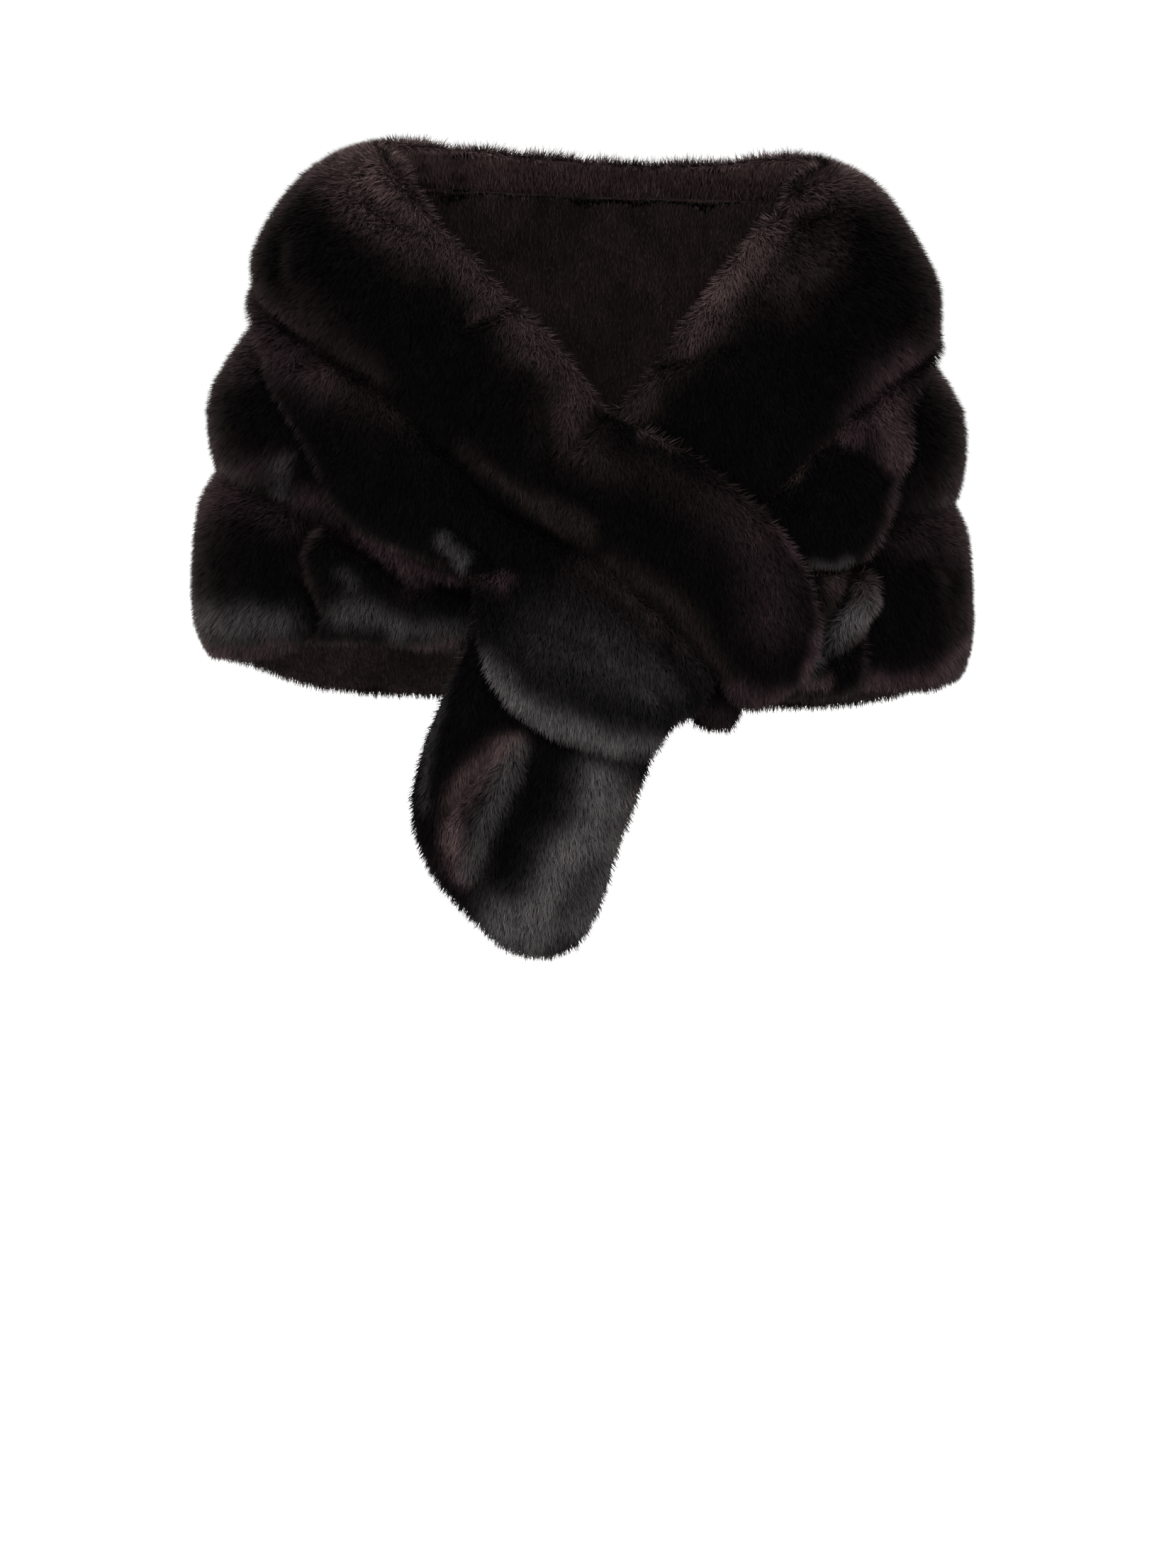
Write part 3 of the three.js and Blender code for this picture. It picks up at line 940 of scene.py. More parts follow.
    @staticmethod
    def _corners(mesh: Mesh) -> tuple[Points, Points, Points]:
        """The vertex and the face of each corner, and the number of corners of each face."""
        counts = read(mesh.polygons, "loop_total", 1).astype(int).ravel()
        corners = np.empty(len(mesh.loops), np.int32)
        mesh.loops.foreach_get("vertex_index", corners)
        return corners, np.repeat(np.arange(len(counts)), counts), counts

    @classmethod
    def _evened(cls, mesh: Mesh, share: Points) -> Points:
        """A share for each vertex, evened out from the shares of the faces round it."""
        corners, owner, counts = cls._corners(mesh)
        uses = np.maximum(np.bincount(corners, minlength=len(mesh.vertices)), 1)
        for _ in range(3):
            even = np.bincount(corners, share[owner], len(mesh.vertices)) / uses
            share = np.bincount(owner, even[corners], len(counts)) / counts
        return even

    @staticmethod
    def _side(mesh: Mesh, chosen: Points) -> BVHTree:
        """The chosen faces of the skin, for finding the nearest one."""
        places = [v.co for v in mesh.vertices]
        faces = [tuple(f.vertices) for f, wanted in zip(mesh.polygons, chosen) if wanted]
        return BVHTree.FromPolygons(places, faces)

    @classmethod
    def _point_normals(cls, mesh: Mesh, left_out: Points) -> Points:
        """Normals at the vertices, from the faces that aren't left out."""
        corners, owner, _ = cls._corners(mesh)
        normals = read(mesh.polygons, "normal", 3)
        areas = read(mesh.polygons, "area", 1)
        weight = np.where(left_out, 1e-4, 1.0)[:, None]
        total = np.zeros((len(mesh.vertices), 3))
        np.add.at(total, corners, (normals * areas * weight)[owner])
        return unit(total)

    @staticmethod
    def _free(mesh: Mesh, sewn: Points) -> Points:
        """How far each vertex is from being sewn: 1 on a free rim, 0 on a sewn one."""
        free = np.ones(len(mesh.vertices))
        for face, held in zip(mesh.polygons, sewn):
            if held:
                free[list(face.vertices)] = 0.0
        return free

    def _relief(self, places: Points) -> Points:
        """Height of the skin's soft waves, creases and pelt seams."""
        waves = LONG_WAVES.at(places) + SHORT_WAVES.at(places)
        for mark in self.marks.creases:
            waves -= mark.depth * mark.strength(places)
        bearing = np.degrees(np.arctan2(places[:, 0], -places[:, 1]))
        far = np.hypot(places[:, 0], places[:, 1])
        sway = SEAM_SWAY.at(places * np.array([0, 0, 1.0]))
        for seam in self.pelt_seams:
            turn = (bearing - seam + 180) % 360 - 180
            aside = np.radians(turn) * far + sway
            waves -= PELT_SEAM_DEPTH * np.exp(-((aside / PELT_SEAM_WIDTH) ** 2))
        return waves

    @staticmethod
    def _nap(places: Points, lie: Points) -> Points:
        """Which way the hair lies: down the skin."""
        down = np.zeros_like(places)
        down[:, 2] = -1.0
        return unit(down - dot(down, lie)[:, None] * lie)

    @staticmethod
    def _lean(outer: Points) -> Points:
        """Share of the full lean, less on the rims, where the hair stands out."""
        return 0.50 + 0.50 * soft_step(0.3, 0.95, np.abs(outer))

    @staticmethod
    def _hair(places: Points, outer: Points) -> Points:
        """Share of the full length of hair."""
        ragged = 1 + RAGGED.at(places)
        return ragged * (0.58 + 0.42 * soft_step(0.0, 0.75, outer))

    def _share_across(self, places: Points) -> Points:
        """Where each point lies across the row, 0 at its upper edge and 1 at its lower one."""
        z = places[:, 2]
        if self.across is Across.BY_HEIGHT:
            return (z.max() - z) / (z.max() - z.min())
        side = 1.0 if places[:, 1].mean() > 0 else -1.0
        bearing = np.degrees(np.arctan2(places[:, 0], side * places[:, 1]))
        slots = np.round(bearing / 4).astype(int)
        marks = np.unique(slots)
        top = np.array([z[slots == m].max() for m in marks])
        low = np.array([z[slots == m].min() for m in marks])
        upper = np.interp(bearing / 4, marks, top)
        lower = np.interp(bearing / 4, marks, low)
        return np.clip((upper - z) / np.maximum(upper - lower, MM), 0, 1)

    def _tones(self, places: Points, outer: Points) -> Points:
        """The row's colour channels: sheen, plum and brown, with the dark strokes taken off."""
        tones = np.zeros((len(places), 4))
        tones[:, 3] = 1.0
        share = self._share_across(places)
        bearing = np.degrees(np.abs(np.arctan2(places[:, 0], -places[:, 1])))
        ahead = 1 - soft_step(*FRONT_ENDS, bearing)
        drift = BAND_DRIFT.at(places)
        fleck = 1 + FLECKS.at(places)
        for band in self.bands:
            across = np.exp(-(((share + drift - band.at) / band.width) ** 2))
            amount = band.amount * (1 - ahead) * across * fleck
            self._lay(tones, band.tone, amount)
        moved = self._warped(places)
        for mark in self.marks.patches:
            self._lay(tones, mark.tone, mark.amount * mark.strength(moved) * (0.7 + 0.3 * fleck))
        # painted shade: the colours darken in a trough towards the near-black fur
        for mark in self.marks.creases:
            if mark.depth > 0:
                tones[:, :3] *= (1 - CREASE_SHADE * mark.strength(places))[:, None]
        inner = 1 - soft_step(-0.4, 0.1, outer)
        tones[:, : Tone.DARK.value] *= (1 - inner)[:, None]
        tones[:, Tone.BROWN.value] += self.inner_brown * inner * fleck
        for mark in self.inner_marks.patches:
            self._lay(tones, mark.tone, mark.amount * mark.strength(moved) * inner)
        return np.clip(tones, 0, 1)

    @staticmethod
    def _warped(places: Points) -> Points:
        """The places moved about a little, so that strokes have uneven outlines."""
        moved = places.copy()
        for axis, seed in ((0, 41.0), (2, 57.0)):
            moved[:, axis] += Waves(7 * MM, 24, seed).at(places)
            moved[:, axis] += Waves(3 * MM, 75, seed + 5).at(places)
        return moved

    @staticmethod
    def _lay(tones: Points, tone: Tone, amount: Points) -> None:
        """Lays one colour over the channels."""
        amount = np.clip(amount, 0, 1)
        if tone is Tone.DARK:
            tones[:, :3] *= (1 - amount)[:, None]
            return
        channel = tone.value
        tones[:, channel] = 1 - (1 - tones[:, channel]) * (1 - amount)

    @staticmethod
    def _keep(mesh: Mesh, name: str, kind: str, key: str, values: Points) -> None:
        """Keeps values on the vertices under a name."""
        made = mesh.attributes.new(name, kind, "POINT")
        made.data.foreach_set(key, values.astype(np.float32).ravel())


@dataclass
class SubAssembly:
    """Rows that share a finish."""

    finish: FurFinish
    rows: tuple[PeltRow, ...]

    def make(
        self, nodes: dict[str, Object], barber: Barber, first_seed: int, thin: float
    ) -> int:
        """Makes every row.

        Args:
            nodes: the frame's nodes.
            barber: grows the pile.
            first_seed: seed of the first row.
            thin: share of the hairs that are grown.

        Returns:
            The next free seed.
        """
        for i, row in enumerate(self.rows):
            row.make(nodes, self.finish, barber, first_seed + i, thin)
        return first_seed + len(self.rows)


FUR_TONES: dict[str, Rgb] = {
    "dark": (0.0048, 0.0041, 0.0043),
    "plum": (0.083, 0.050, 0.058),
    "brown": (0.185, 0.122, 0.118),
    "grey": (0.165, 0.152, 0.154),
}
BODY_FUR = FurFinish(name="body_fur", slot="body_fur", **FUR_TONES)
COLLAR_FUR = FurFinish(name="collar_fur", slot="collar_fur", **FUR_TONES)
FRONT_FUR = FurFinish(name="front_fur", slot="front_fur", **FUR_TONES)

LEFT_RUN = Marks(
    patches=(
        # painted highlight on the shoulder top, in the fur's brown, fading in the next two strokes
        brown(0.95, 27, (-171, 40), (-187, 17)),
        brown(0.45, 19, (-162, 16), (-165, -5)),
        brown(0.2, 19, (-155, -5), (-139, -25)),
        # the fur's brown along the neck edge, partly painted light where the edge catches it
        brown(0.38, 17, (-140, -8), (-102, -37), (-65, -78), (-41, -104)),
        brown(0.22, 13, (-28, -119), (-4, -142)),
        brown(0.2, 4, (-121, -13), (-90, -40), (-53, -74), (-19, -116), (5, -146)),
        brown(0.13, 18, (-237, -79), (-205, -99), (-170, -128)),
        plum(0.5, 7, (-278, -77), (-247, -90), (-228, -107)),
        brown(0.5, 4, (-93, -89), (-74, -82), (-59, -75)),
        brown(0.22, 19, (-16, -154), (-4, -181)),
        brown(0.14, 8, (-96, -187), (-59, -216), (-28, -234), (2, -251)),
        dark(0.9, 19, (-264, -52), (-248, -30)),
        dark(0.95, 27, (-225, -13), (-205, -54), (-151, -106), (-114, -148), (-77, -180)),
        dark(0.8, 10, (-65, -201), (-41, -218), (-4, -226)),
        brown(0.06, 16, (-2, -188), (35, -203), (73, -219), (111, -235), (142, -258)),
        brown(0.32, 4, (48, -178), (73, -190)),
        dark(0.8, 18, (48, -250), (86, -272), (130, -311), (155, -343)),
        brown(0.12, 10, (23, -279), (61, -304), (92, -330), (111, -362)),
        brown(0.08, 5, (-81, -203), (-49, -230), (-15, -255)),
        plum(0.95, 5, (161, -256), (186, -295), (191, -327), (188, -355), (177, -375)),
        plum(0.3, 23, (123, -236), (149, -273), (155, -324)),
        plum(0.6, 9, (121, -383), (143, -393), (165, -386)),
    ),
    creases=(
        crease(6.8, 6, (-99, -93), (-74, -84), (-59, -74)),
        crease(-4.5, 6, (-90, -102), (-71, -92), (-50, -87)),
        crease(5.2, 6, (-178, 9), (-161, -5), (-140, -13)),
        crease(8.2, 6, (13, -160), (-2, -178), (-10, -193)),
        crease(6, 6, (-40, -134), (-28, -163), (-25, -194)),
        crease(5.2, 6, (-248, -30), (-250, -56), (-240, -71)),
        crease(-4.5, 8, (-166, 30), (-153, 13), (-137, -5)),
        crease(6, 6, (-27, -201), (-18, -220), (4, -228)),
        crease(5.2, 6, (20, -250), (42, -238), (48, -219)),
    ),
)
OUTER_LEFT = Marks(
    patches=(
        plum(0.45, 16, (-270, -101), (-246, -122), (-214, -138)),
        brown(0.09, 18, (-208, -135), (-177, -156), (-146, -168)),
        dark(0.9, 26, (-202, -199), (-158, -209), (-121, -233), (-93, -254)),
        # painted highlight: a light plum line along the rim
        plum(
            0.85, 4, (-276, -114), (-267, -144), (-251, -170), (-232, -197), (-219, -225),
            (-207, -249), (-188, -267), (-152, -272),
        ),
        sheen(0.5, 5, (-117, -263), (-107, -269), (-98, -280)),
    ),
    creases=(
        crease(6, 6, (-202, -153), (-211, -175), (-202, -199)),
        crease(5.2, 6, (-233, -124), (-208, -121), (-183, -135)),
        crease(6, 6, (-121, -248), (-102, -257), (-75, -280)),
    ),
)
UPPER_LEFT = Marks(
    patches=(
        plum(0.6, 11, (-297, -98), (-288, -116), (-278, -133)),
        dark(0.9, 22, (-312, -168), (-273, -171), (-241, -191)),
        plum(0.35, 8, (-312, -220), (-281, -219), (-251, -213)),
        sheen(0.42, 3, (-251, -212), (-250, -236)),
        plum(0.45, 10, (-239, -238), (-216, -237), (-207, -246)),
        plum(1, 10, (-178, -264), (-153, -288), (-138, -303)),
        plum(1, 5, (-138, -287), (-97, -299)),
    ),
    creases=(
        crease(5.2, 6, (-242, -235), (-252, -249)),
    ),
)
HEM_LEFT = Marks(
    patches=(
        plum(0.3, 13, (-329, -252), (-288, -243), (-245, -254)),
        plum(0.35, 10, (-223, -260), (-207, -252), (-191, -264)),
        dark(0.95, 21, (-332, -301), (-281, -296), (-249, -310)),
        sheen(0.52, 13, (-332, -353), (-302, -347), (-275, -344), (-252, -345)),
        plum(0.6, 6, (-328, -380), (-282, -366), (-243, -358)),
        # plum along the fold's edge, partly painted light where the edge catches it
        plum(0.6, 4, (-221, -262), (-234, -281), (-234, -296), (-226, -305)),
        # painted shade beside the fold
        dark(0.7, 6, (-221, -305), (-213, -283)),
        sheen(0.42, 10, (-199, -332), (-172, -328), (-154, -335)),
        # painted shade beside the fold
        dark(0.6, 8, (-216, -289), (-207, -304), (-191, -288)),
        sheen(0.28, 11, (-147, -340), (-104, -345)),
        sheen(0.22, 6, (-194, -300), (-185, -309)),
        plum(1, 10, (-178, -264), (-153, -288), (-138, -303)),
        plum(0.9, 7, (-84, -290), (-65, -291)),
        # painted shade in a hollow by the crease
        dark(0.8, 10, (-125, -301), (-110, -304)),
        # painted glow: a light brown line along the hem's lower edge
        brown(0.35, 5, (-211, -358), (-167, -359), (-104, -356)),
    ),
    creases=(
        crease(13.5, 6, (-224, -264), (-237, -284), (-233, -309), (-220, -336), (-230, -361)),
        crease(-4.5, 8, (-207, -268), (-213, -289), (-207, -304)),
        crease(7.5, 6, (-135, -312), (-116, -293), (-97, -299)),
        crease(6, 6, (-166, -285), (-147, -309)),
    ),
)
FLAP = Marks(
    patches=(
        sheen(0.22, 30, (-24, -339), (23, -357), (67, -377)),
        brown(0.13, 20, (13, -286), (48, -312), (80, -343)),
        plum(0.9, 7, (-84, -287), (-65, -293)),
        sheen(0.45, 3, (12, -346), (29, -360), (45, -373)),
        sheen(0.4, 4, (48, -383), (61, -394)),
        sheen(1, 12, (-77, -362), (-56, -389), (-28, -407), (1, -419), (20, -424)),
        sheen(0.6, 9, (29, -426), (58, -430)),
        dark(0.8, 11, (64, -348), (92, -381), (102, -404)),
    ),
    creases=(
        crease(3.8, 6, (-34, -332), (4, -348), (48, -376), (73, -399)),
        crease(-6, 6, (12, -348), (29, -362), (48, -376)),
        crease(6, 6, (-65, -317), (-46, -336), (-50, -361)),
        crease(3, 6, (-2, -295), (42, -323), (73, -361)),
    ),
)
LOBE = Marks(
    patches=(
        plum(0.35, 9, (106, -404), (122, -414)),
    ),
)
TAIL = Marks(
    patches=(
        sheen(0.34, 5, (-109, -380), (-120, -416), (-127, -454), (-130, -486)),
        # painted shade in the trough along the tail's left side
        dark(0.9, 9, (-88, -372), (-103, -420), (-116, -463), (-119, -489)),
        plum(1, 9, (-58, -431), (-77, -448), (-98, -472), (-108, -498), (-105, -526), (-99, -548)),
        brown(0.8, 7, (-58, -431), (-77, -448), (-98, -472), (-108, -498), (-105, -521)),
        sheen(0.55, 9, (-53, -436), (-70, -471), (-86, -510), (-94, -542)),
        dark(0.95, 16, (-25, -429), (-31, -461)),
        # painted shade in the trough along the crease
        dark(0.5, 10, (-34, -464), (-45, -499), (-57, -532)),
        sheen(1, 19, (15, -463), (7, -502), (-18, -534), (-38, -572)),
        sheen(0.7, 11, (34, -485), (20, -528), (6, -563), (-6, -590)),
        sheen(1, 18, (-67, -580), (-41, -592)),
        brown(0.4, 3, (44, -470), (23, -535), (10, -567)),
    ),
    creases=(
        crease(9, 6, (-76, -446), (-95, -472), (-111, -495)),
        crease(-6, 8, (-61, -452), (-76, -484), (-92, -521)),
        crease(5.2, 6, (-41, -436), (-47, -483), (-66, -543)),
    ),
)
RIGHT_RUN = Marks(
    patches=(
        # the fur's brown along the neck edge, partly painted light where the edge catches it
        brown(0.62, 18, (164, -1), (139, -33), (113, -71), (86, -109)),
        brown(0.35, 6, (152, -3), (126, -39), (99, -77)),
        brown(0.32, 13, (76, -119), (53, -145), (30, -169)),
        # painted highlight on the shoulder top, in the fur's brown
        brown(0.45, 21, (191, 18), (219, 12)),
        brown(0.16, 17, (200, -31), (176, -56), (162, -71)),
        plum(0.75, 13, (265, -125), (240, -140), (217, -162)),
        dark(0.95, 21, (235, -23), (251, -66), (220, -89)),
        dark(1, 48, (99, -148), (136, -165), (132, -201), (179, -159)),
    ),
    creases=(
        crease(3.8, 6, (119, -108), (89, -116), (66, -122)),
        crease(-4.5, 8, (119, -122), (86, -132), (60, -142)),
        crease(6, 6, (186, -103), (216, -109), (226, -103)),
        crease(6, 6, (159, 1), (173, -11), (200, -2)),
        crease(-5.2, 10, (143, -20), (113, -62)),
    ),
)
OUTER_RIGHT_UPPER = Marks(
    patches=(
        plum(1, 17, (248, -154), (256, -183), (260, -207)),
        brown(0.16, 12, (254, -169), (259, -196)),
        plum(0.55, 10, (227, -175), (213, -188)),
        plum(0.5, 9, (217, -175), (200, -204)),
        brown(0.45, 3, (220, -169), (193, -191), (166, -220), (150, -239)),
    ),
    creases=(
        crease(6, 6, (268, -157), (264, -177)),
    ),
)
OUTER_RIGHT_LOWER = Marks(
    patches=(
        dark(0.95, 21, (186, -229), (220, -237), (230, -257)),
        brown(0.45, 3, (220, -169), (193, -191), (166, -220), (150, -239)),
        plum(0.6, 4, (257, -224), (250, -260), (235, -284)),
        sheen(0.35, 4, (183, -286), (204, -287), (217, -282)),
    ),
    creases=(
        crease(6, 6, (200, -197), (193, -219), (173, -239)),
    ),
)
UPPER_RIGHT = Marks(
    patches=(
        plum(0.6, 10, (280, -124), (296, -135), (313, -161)),
        dark(0.95, 21, (287, -174), (309, -200)),
    ),
)
HEM_RIGHT = Marks(
    patches=(
        plum(0.22, 15, (263, -277), (292, -273), (322, -288)),
        dark(0.9, 21, (246, -322), (292, -330), (326, -337)),
        plum(0.95, 8, (240, -389), (293, -391), (323, -368)),
        plum(0.5, 7, (168, -398), (215, -392)),
    ),
    creases=(
        crease(6, 6, (274, -294), (292, -293), (307, -315)),
    ),
)
GATHER = Marks(
    patches=(
        brown(0.3, 9, (200, -306), (228, -305), (236, -315)),
        sheen(0.9, 13, (183, -365), (204, -350), (221, -334), (237, -327)),
        brown(0.5, 5, (181, -386), (201, -387)),
        # painted shade in the two folds: this stroke and the next follow the creases
        dark(0.6, 6, (218, -304), (214, -321), (204, -333)),
        dark(0.6, 6, (201, -371), (225, -358)),
    ),
    creases=(
        crease(12, 6, (221, -298), (218, -318), (201, -337), (194, -363)),
        crease(9, 6, (201, -371), (225, -358), (236, -346)),
        crease(-10.5, 6, (228, -308), (233, -328)),
    ),
)
# The brown strokes stand partly for painted highlights on the collar's folds, and the thin dark
# ones between them for painted shade in its creases.
BACK_COLLAR = Marks(
    patches=(
        brown(1, 16, (-159, 30), (-144, 17), side=Side.BACK),
        brown(1, 17, (-131, 23), (-113, 15), side=Side.BACK),
        brown(1, 16, (-101, 28), (-76, 21), side=Side.BACK),
        brown(0.35, 24, (-163, 12), (-76, 6), side=Side.BACK),
        dark(0.8, 3, (-139, 34), (-141, 15), (-148, -1), side=Side.BACK),
        dark(0.8, 3, (-108, 32), (-106, 12), side=Side.BACK),
        dark(0.6, 8, (-138, -9), (-101, -9), side=Side.BACK),
        brown(0.3, 16, (109, 22), (159, 25), side=Side.BACK),
    ),
)
HEM_BACK = Marks(
    patches=(
        dark(1, 50, (304, -402), side=Side.BACK),
        plum(0.5, 22, (304, -428), side=Side.BACK),
        dark(0.8, 34, (60, -372), (110, -365), side=Side.BACK),
        sheen(0.3, 23, (-120, -420), (-60, -424), side=Side.BACK),
        plum(0.35, 34, (170, -330), side=Side.BACK),
    ),
)
UPPER_BACK = Marks(
    patches=(
        dark(0.9, 34, (-60, -225), (10, -220), side=Side.BACK),
        dark(0.7, 31, (190, -215), side=Side.BACK),
        sheen(0.22, 20, (-170, -262), (-120, -268), side=Side.BACK),
        plum(0.35, 30, (110, -255), side=Side.BACK),
        plum(0.3, 34, (-230, -215), side=Side.BACK),
    ),
)


class Body(SubAssembly):
    """The upper row and the hem row, each in three lengths round the wearer."""

    def __init__(self) -> None:
        """Names the rows with their sizes, colours and creases."""
        # plum near a row's top: the fur's tint, partly painted light on the lit upper side of the
        # lump; sheen bands are painted sheen
        upper = (
            Band(0.40, 0.12, Tone.PLUM, 0.60),
            Band(0.90, 0.08, Tone.PLUM, 0.45),
            Band(0.97, 0.04, Tone.SHEEN, 0.25),
        )
        hem = (
            Band(0.12, 0.17, Tone.PLUM, 0.55),
            Band(0.80, 0.12, Tone.SHEEN, 0.60),
            Band(0.97, 0.06, Tone.PLUM, 0.60),
        )
        right_hem = (
            Band(0.12, 0.17, Tone.PLUM, 0.50),
            Band(0.96, 0.08, Tone.PLUM, 0.80),
        )
        super().__init__(
            finish=BODY_FUR,
            rows=(
                PeltRow(
                    "upper_row_left", flat=(0.40, 0.23), joins=("upper_row_back",),
                    rests_on=("hem_row_left",), bands=upper, marks=UPPER_LEFT,
                    pelt_seams=(-100.0,),
                ),
                PeltRow(
                    "upper_row_back", flat=(0.62, 0.25),
                    joins=("upper_row_left", "upper_row_right"), rests_on=("hem_row_back",),
                    bands=upper, marks=UPPER_BACK,
                    pelt_seams=(-128.0, -152.0, -178.0, 156.0, 130.0), inside=0.28,
                ),
                PeltRow(
                    "upper_row_right", flat=(0.40, 0.22), joins=("upper_row_back",),
                    rests_on=("hem_row_right",), bands=upper, marks=UPPER_RIGHT,
                    pelt_seams=(102.0,),
                ),
                PeltRow(
                    "hem_row_left", flat=(0.40, 0.125), joins=("hem_row_back",),
                    rests_on=("upper_row_left",), level=2, bands=hem, marks=HEM_LEFT,
                    pelt_seams=(-96.0,),
                ),
                PeltRow(
                    "hem_row_back", flat=(0.64, 0.175), joins=("hem_row_left", "hem_row_right"),
                    rests_on=("upper_row_back",), bands=hem, marks=HEM_BACK,
                    pelt_seams=(-124.0, -146.0, -170.0, 166.0, 144.0, 122.0), inside=0.30,
                ),
                PeltRow(
                    "hem_row_right", flat=(0.40, 0.137), joins=("hem_row_back",),
                    rests_on=("upper_row_right",), level=2, bands=right_hem, marks=HEM_RIGHT,
                    pelt_seams=(98.0,),
                ),
            ),
        )


class Collar(SubAssembly):
    """The inner and outer collar rows, and the band that carries the inner one over the front."""

    def __init__(self) -> None:
        """Names the rows with their sizes, colours and creases."""
        inner = (
            # brown along the neck edge: the fur's brown, partly painted light where the edge
            # catches it
            Band(0.05, 0.22, Tone.BROWN, 0.45),
            Band(0.90, 0.14, Tone.PLUM, 0.35),
        )
        # plum near the outer row's top: the fur's tint, partly painted light on its lit upper side
        outer = (Band(0.15, 0.25, Tone.PLUM, 0.30), Band(0.92, 0.12, Tone.PLUM, 0.55))
        super().__init__(
            finish=COLLAR_FUR,
            rows=(
                PeltRow(
                    "collar_inner_back", flat=(0.65, 0.105),
                    joins=("collar_inner_left", "collar_inner_right"),
                    rests_on=("collar_outer_back",), bands=inner, inner_marks=BACK_COLLAR,
                    inside=0.85, inner_brown=0.7, pelt_seams=(-128.0, -156.0, 176.0, 150.0, 122.0),
                ),
                PeltRow(
                    "collar_outer_back", flat=(0.69, 0.08),
                    joins=("collar_outer_left", "collar_outer_right_upper"),
                    rests_on=("upper_row_back",), bands=outer,
                    pelt_seams=(-120.0, -148.0, -175.0, 160.0, 132.0),
                ),
                PeltRow(
                    "collar_inner_left", flat=(0.44, 0.136),
                    joins=("collar_inner_back", "crossing_band"),
                    rests_on=("upper_row_left", "collar_outer_left"), level=2, bands=inner,
                    marks=LEFT_RUN, inside=0.3,
                ),
                PeltRow(
                    "collar_outer_left", flat=(0.43, 0.062), joins=("collar_outer_back",),
                    rests_on=("upper_row_left",), level=2, bands=outer, marks=OUTER_LEFT,
                    inside=0.2,
                ),
                PeltRow(
                    "crossing_band", flat=(0.28, 0.10), joins=("collar_inner_left",),
                    rests_on=("flap", "collar_inner_right"), level=2, marks=LEFT_RUN,
                ),
                PeltRow(
                    "collar_inner_right", flat=(0.45, 0.137), joins=("collar_inner_back",),
                    rests_on=("upper_row_right", "collar_outer_right_upper"), level=2, bands=inner,
                    marks=RIGHT_RUN, inside=0.3,
                ),
                PeltRow(
                    "collar_outer_right_upper", flat=(0.21, 0.035), joins=("collar_outer_back",),
                    rests_on=("upper_row_right",), level=2, bands=outer, marks=OUTER_RIGHT_UPPER,
                ),
                PeltRow(
                    "collar_outer_right_lower", flat=(0.14, 0.077),
                    rests_on=("upper_row_right", "hem_row_right"), level=2,
                    marks=OUTER_RIGHT_LOWER,
                ),
            ),
        )


class FrontEnds(SubAssembly):
    """The flap, the tucked lobe, the hanging tail and the gathered piece."""

    def __init__(self) -> None:
        """Names the rows with their sizes, colours and creases."""
        super().__init__(
            finish=FRONT_FUR,
            rows=(
                PeltRow(
                    "flap", flat=(0.22, 0.11), rests_on=("tail", "hem_row_left"), level=2,
                    marks=FLAP,
                ),
                PeltRow(
                    "flap_lobe", flat=(0.08, 0.052), rests_on=("hem_row_right",), marks=LOBE,
                ),
                PeltRow(
                    "tail", flat=(0.155, 0.32), rests_on=("flap",), level=2, held="hung",
                    bands=(Band(0.75, 0.40, Tone.SHEEN, 0.35),), across=Across.BY_HEIGHT,
                    marks=TAIL, inside=0.45,
                ),
                PeltRow(
                    "gathered_front", flat=(0.11, 0.09), rests_on=("hem_row_right",), level=2,
                    held="gathered", marks=GATHER,
                ),
            ),
        )


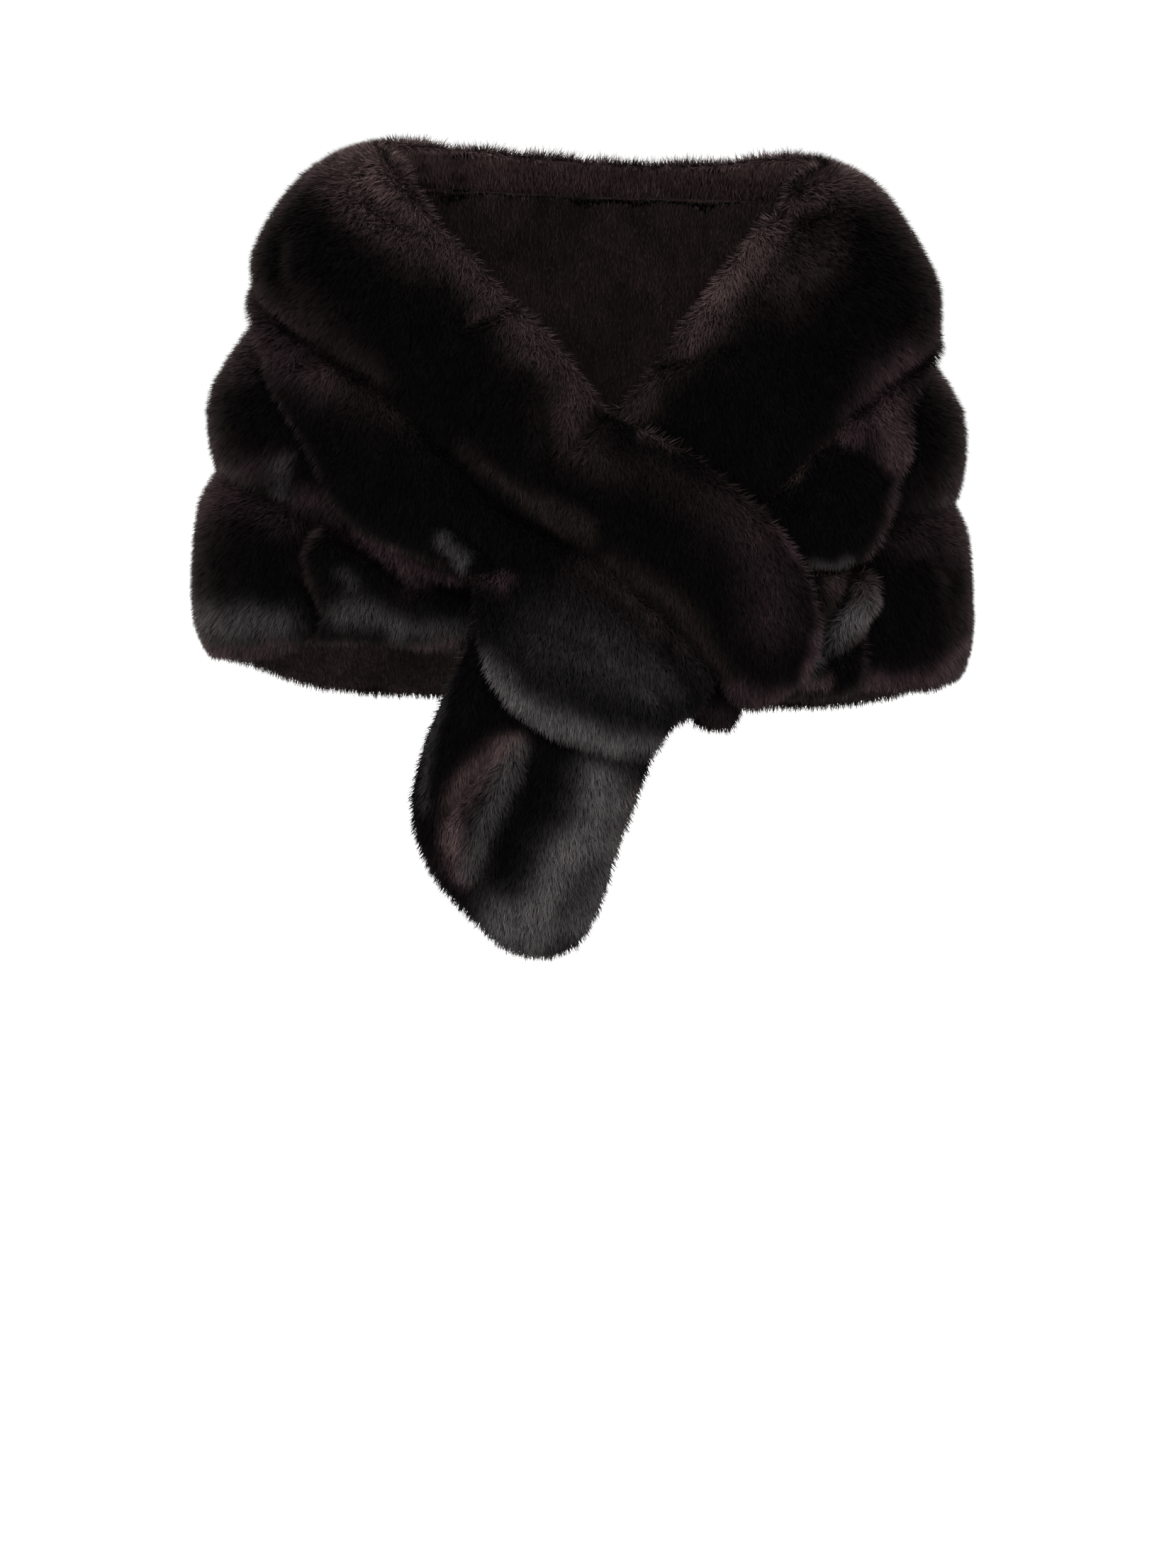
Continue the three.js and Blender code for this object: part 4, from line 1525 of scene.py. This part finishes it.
@dataclass
class Studio:
    """Plain pale floor, soft light all round, and the camera at the photograph's angle."""

    floor_level: float = -1.056
    floor_size: float = 120.0
    camera_place: Triple = (0.0039, -3.75, 0.262)
    camera_pitch: float = 78.45
    camera_lens: float = 101.73
    sky: float = 1.05
    lamps_look_at: Triple = (0.0, 0.0, -0.25)

    def make(self) -> None:
        """Builds the floor, lights and camera."""
        self._floor()
        self._sky()
        self._lamp("key_left", (-2.2, -2.6, 2.4), 2.2, 130.0)
        self._lamp("key_right", (2.2, -2.6, 2.4), 2.2, 110.0)
        self._lamp("top_back", (0.0, 1.8, 2.8), 2.0, 60.0)
        self._camera()

    def _floor(self) -> None:
        """A wide pale plane under the stole."""
        bm = bmesh.new()
        bmesh.ops.create_grid(bm, x_segments=1, y_segments=1, size=self.floor_size / 2)
        bmesh.ops.translate(bm, verts=bm.verts, vec=(0, 0, self.floor_level))
        mesh = bpy.data.meshes.new("studio_floor")
        bm.to_mesh(mesh)
        bm.free()
        floor = bpy.data.objects.new("studio_floor", mesh)
        bpy.context.scene.collection.objects.link(floor)
        pale = bpy.data.materials.new("pale_floor")
        pale.use_nodes = True
        shader = pale.node_tree.nodes["Principled BSDF"]
        shader.inputs["Base Color"].default_value = (0.97, 0.97, 0.965, 1)
        shader.inputs["Roughness"].default_value = 0.9
        shader.inputs["Specular IOR Level"].default_value = 0.1
        mesh.materials.append(pale)

    def _sky(self) -> None:
        """Even white light from all round."""
        world = bpy.data.worlds.new("studio_sky")
        world.use_nodes = True
        back = world.node_tree.nodes["Background"]
        back.inputs["Color"].default_value = (1.0, 1.0, 1.0, 1)
        back.inputs["Strength"].default_value = self.sky
        bpy.context.scene.world = world

    def _lamp(self, name: str, place: Triple, size: float, power: float) -> None:
        """A square soft lamp that looks at the stole.

        Args:
            name: what it is called.
            place: where it hangs.
            size: its side.
            power: its light.
        """
        light = bpy.data.lights.new(name, "AREA")
        light.size = size
        light.energy = power
        lamp = bpy.data.objects.new(name, light)
        lamp.location = place
        way = Vector(self.lamps_look_at) - Vector(place)
        lamp.rotation_euler = way.to_track_quat("-Z", "Y").to_euler()
        bpy.context.scene.collection.objects.link(lamp)

    def _camera(self) -> None:
        """The photograph's camera."""
        lens = bpy.data.cameras.new("camera")
        lens.lens = self.camera_lens
        lens.sensor_width = 36.0
        lens.clip_start = 0.05
        lens.clip_end = 200.0
        camera = bpy.data.objects.new("camera", lens)
        camera.location = self.camera_place
        camera.rotation_euler = (math.radians(self.camera_pitch), 0, 0)
        bpy.context.scene.collection.objects.link(camera)
        bpy.context.scene.camera = camera


def main() -> None:
    """Builds the stole's sub-assemblies and the studio, in order."""
    logging.basicConfig(level=logging.INFO, format="%(message)s")
    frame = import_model()
    nodes = frame["nodes"]
    scene = bpy.context.scene
    for spare in [o for o in bpy.data.objects if o.name in {"Cube", "Light", "Camera"}]:
        bpy.data.objects.remove(spare)
    scene.view_settings.view_transform = "Standard"
    thin = 1.0
    barber = Barber()
    seed = 1
    for part in (Body(), Collar(), FrontEnds()):
        LOG.info("building %s", type(part).__name__)
        seed = part.make(nodes, barber, seed, thin)
    barber.put_away()
    Studio().make()


if __name__ == "__main__":
    main()
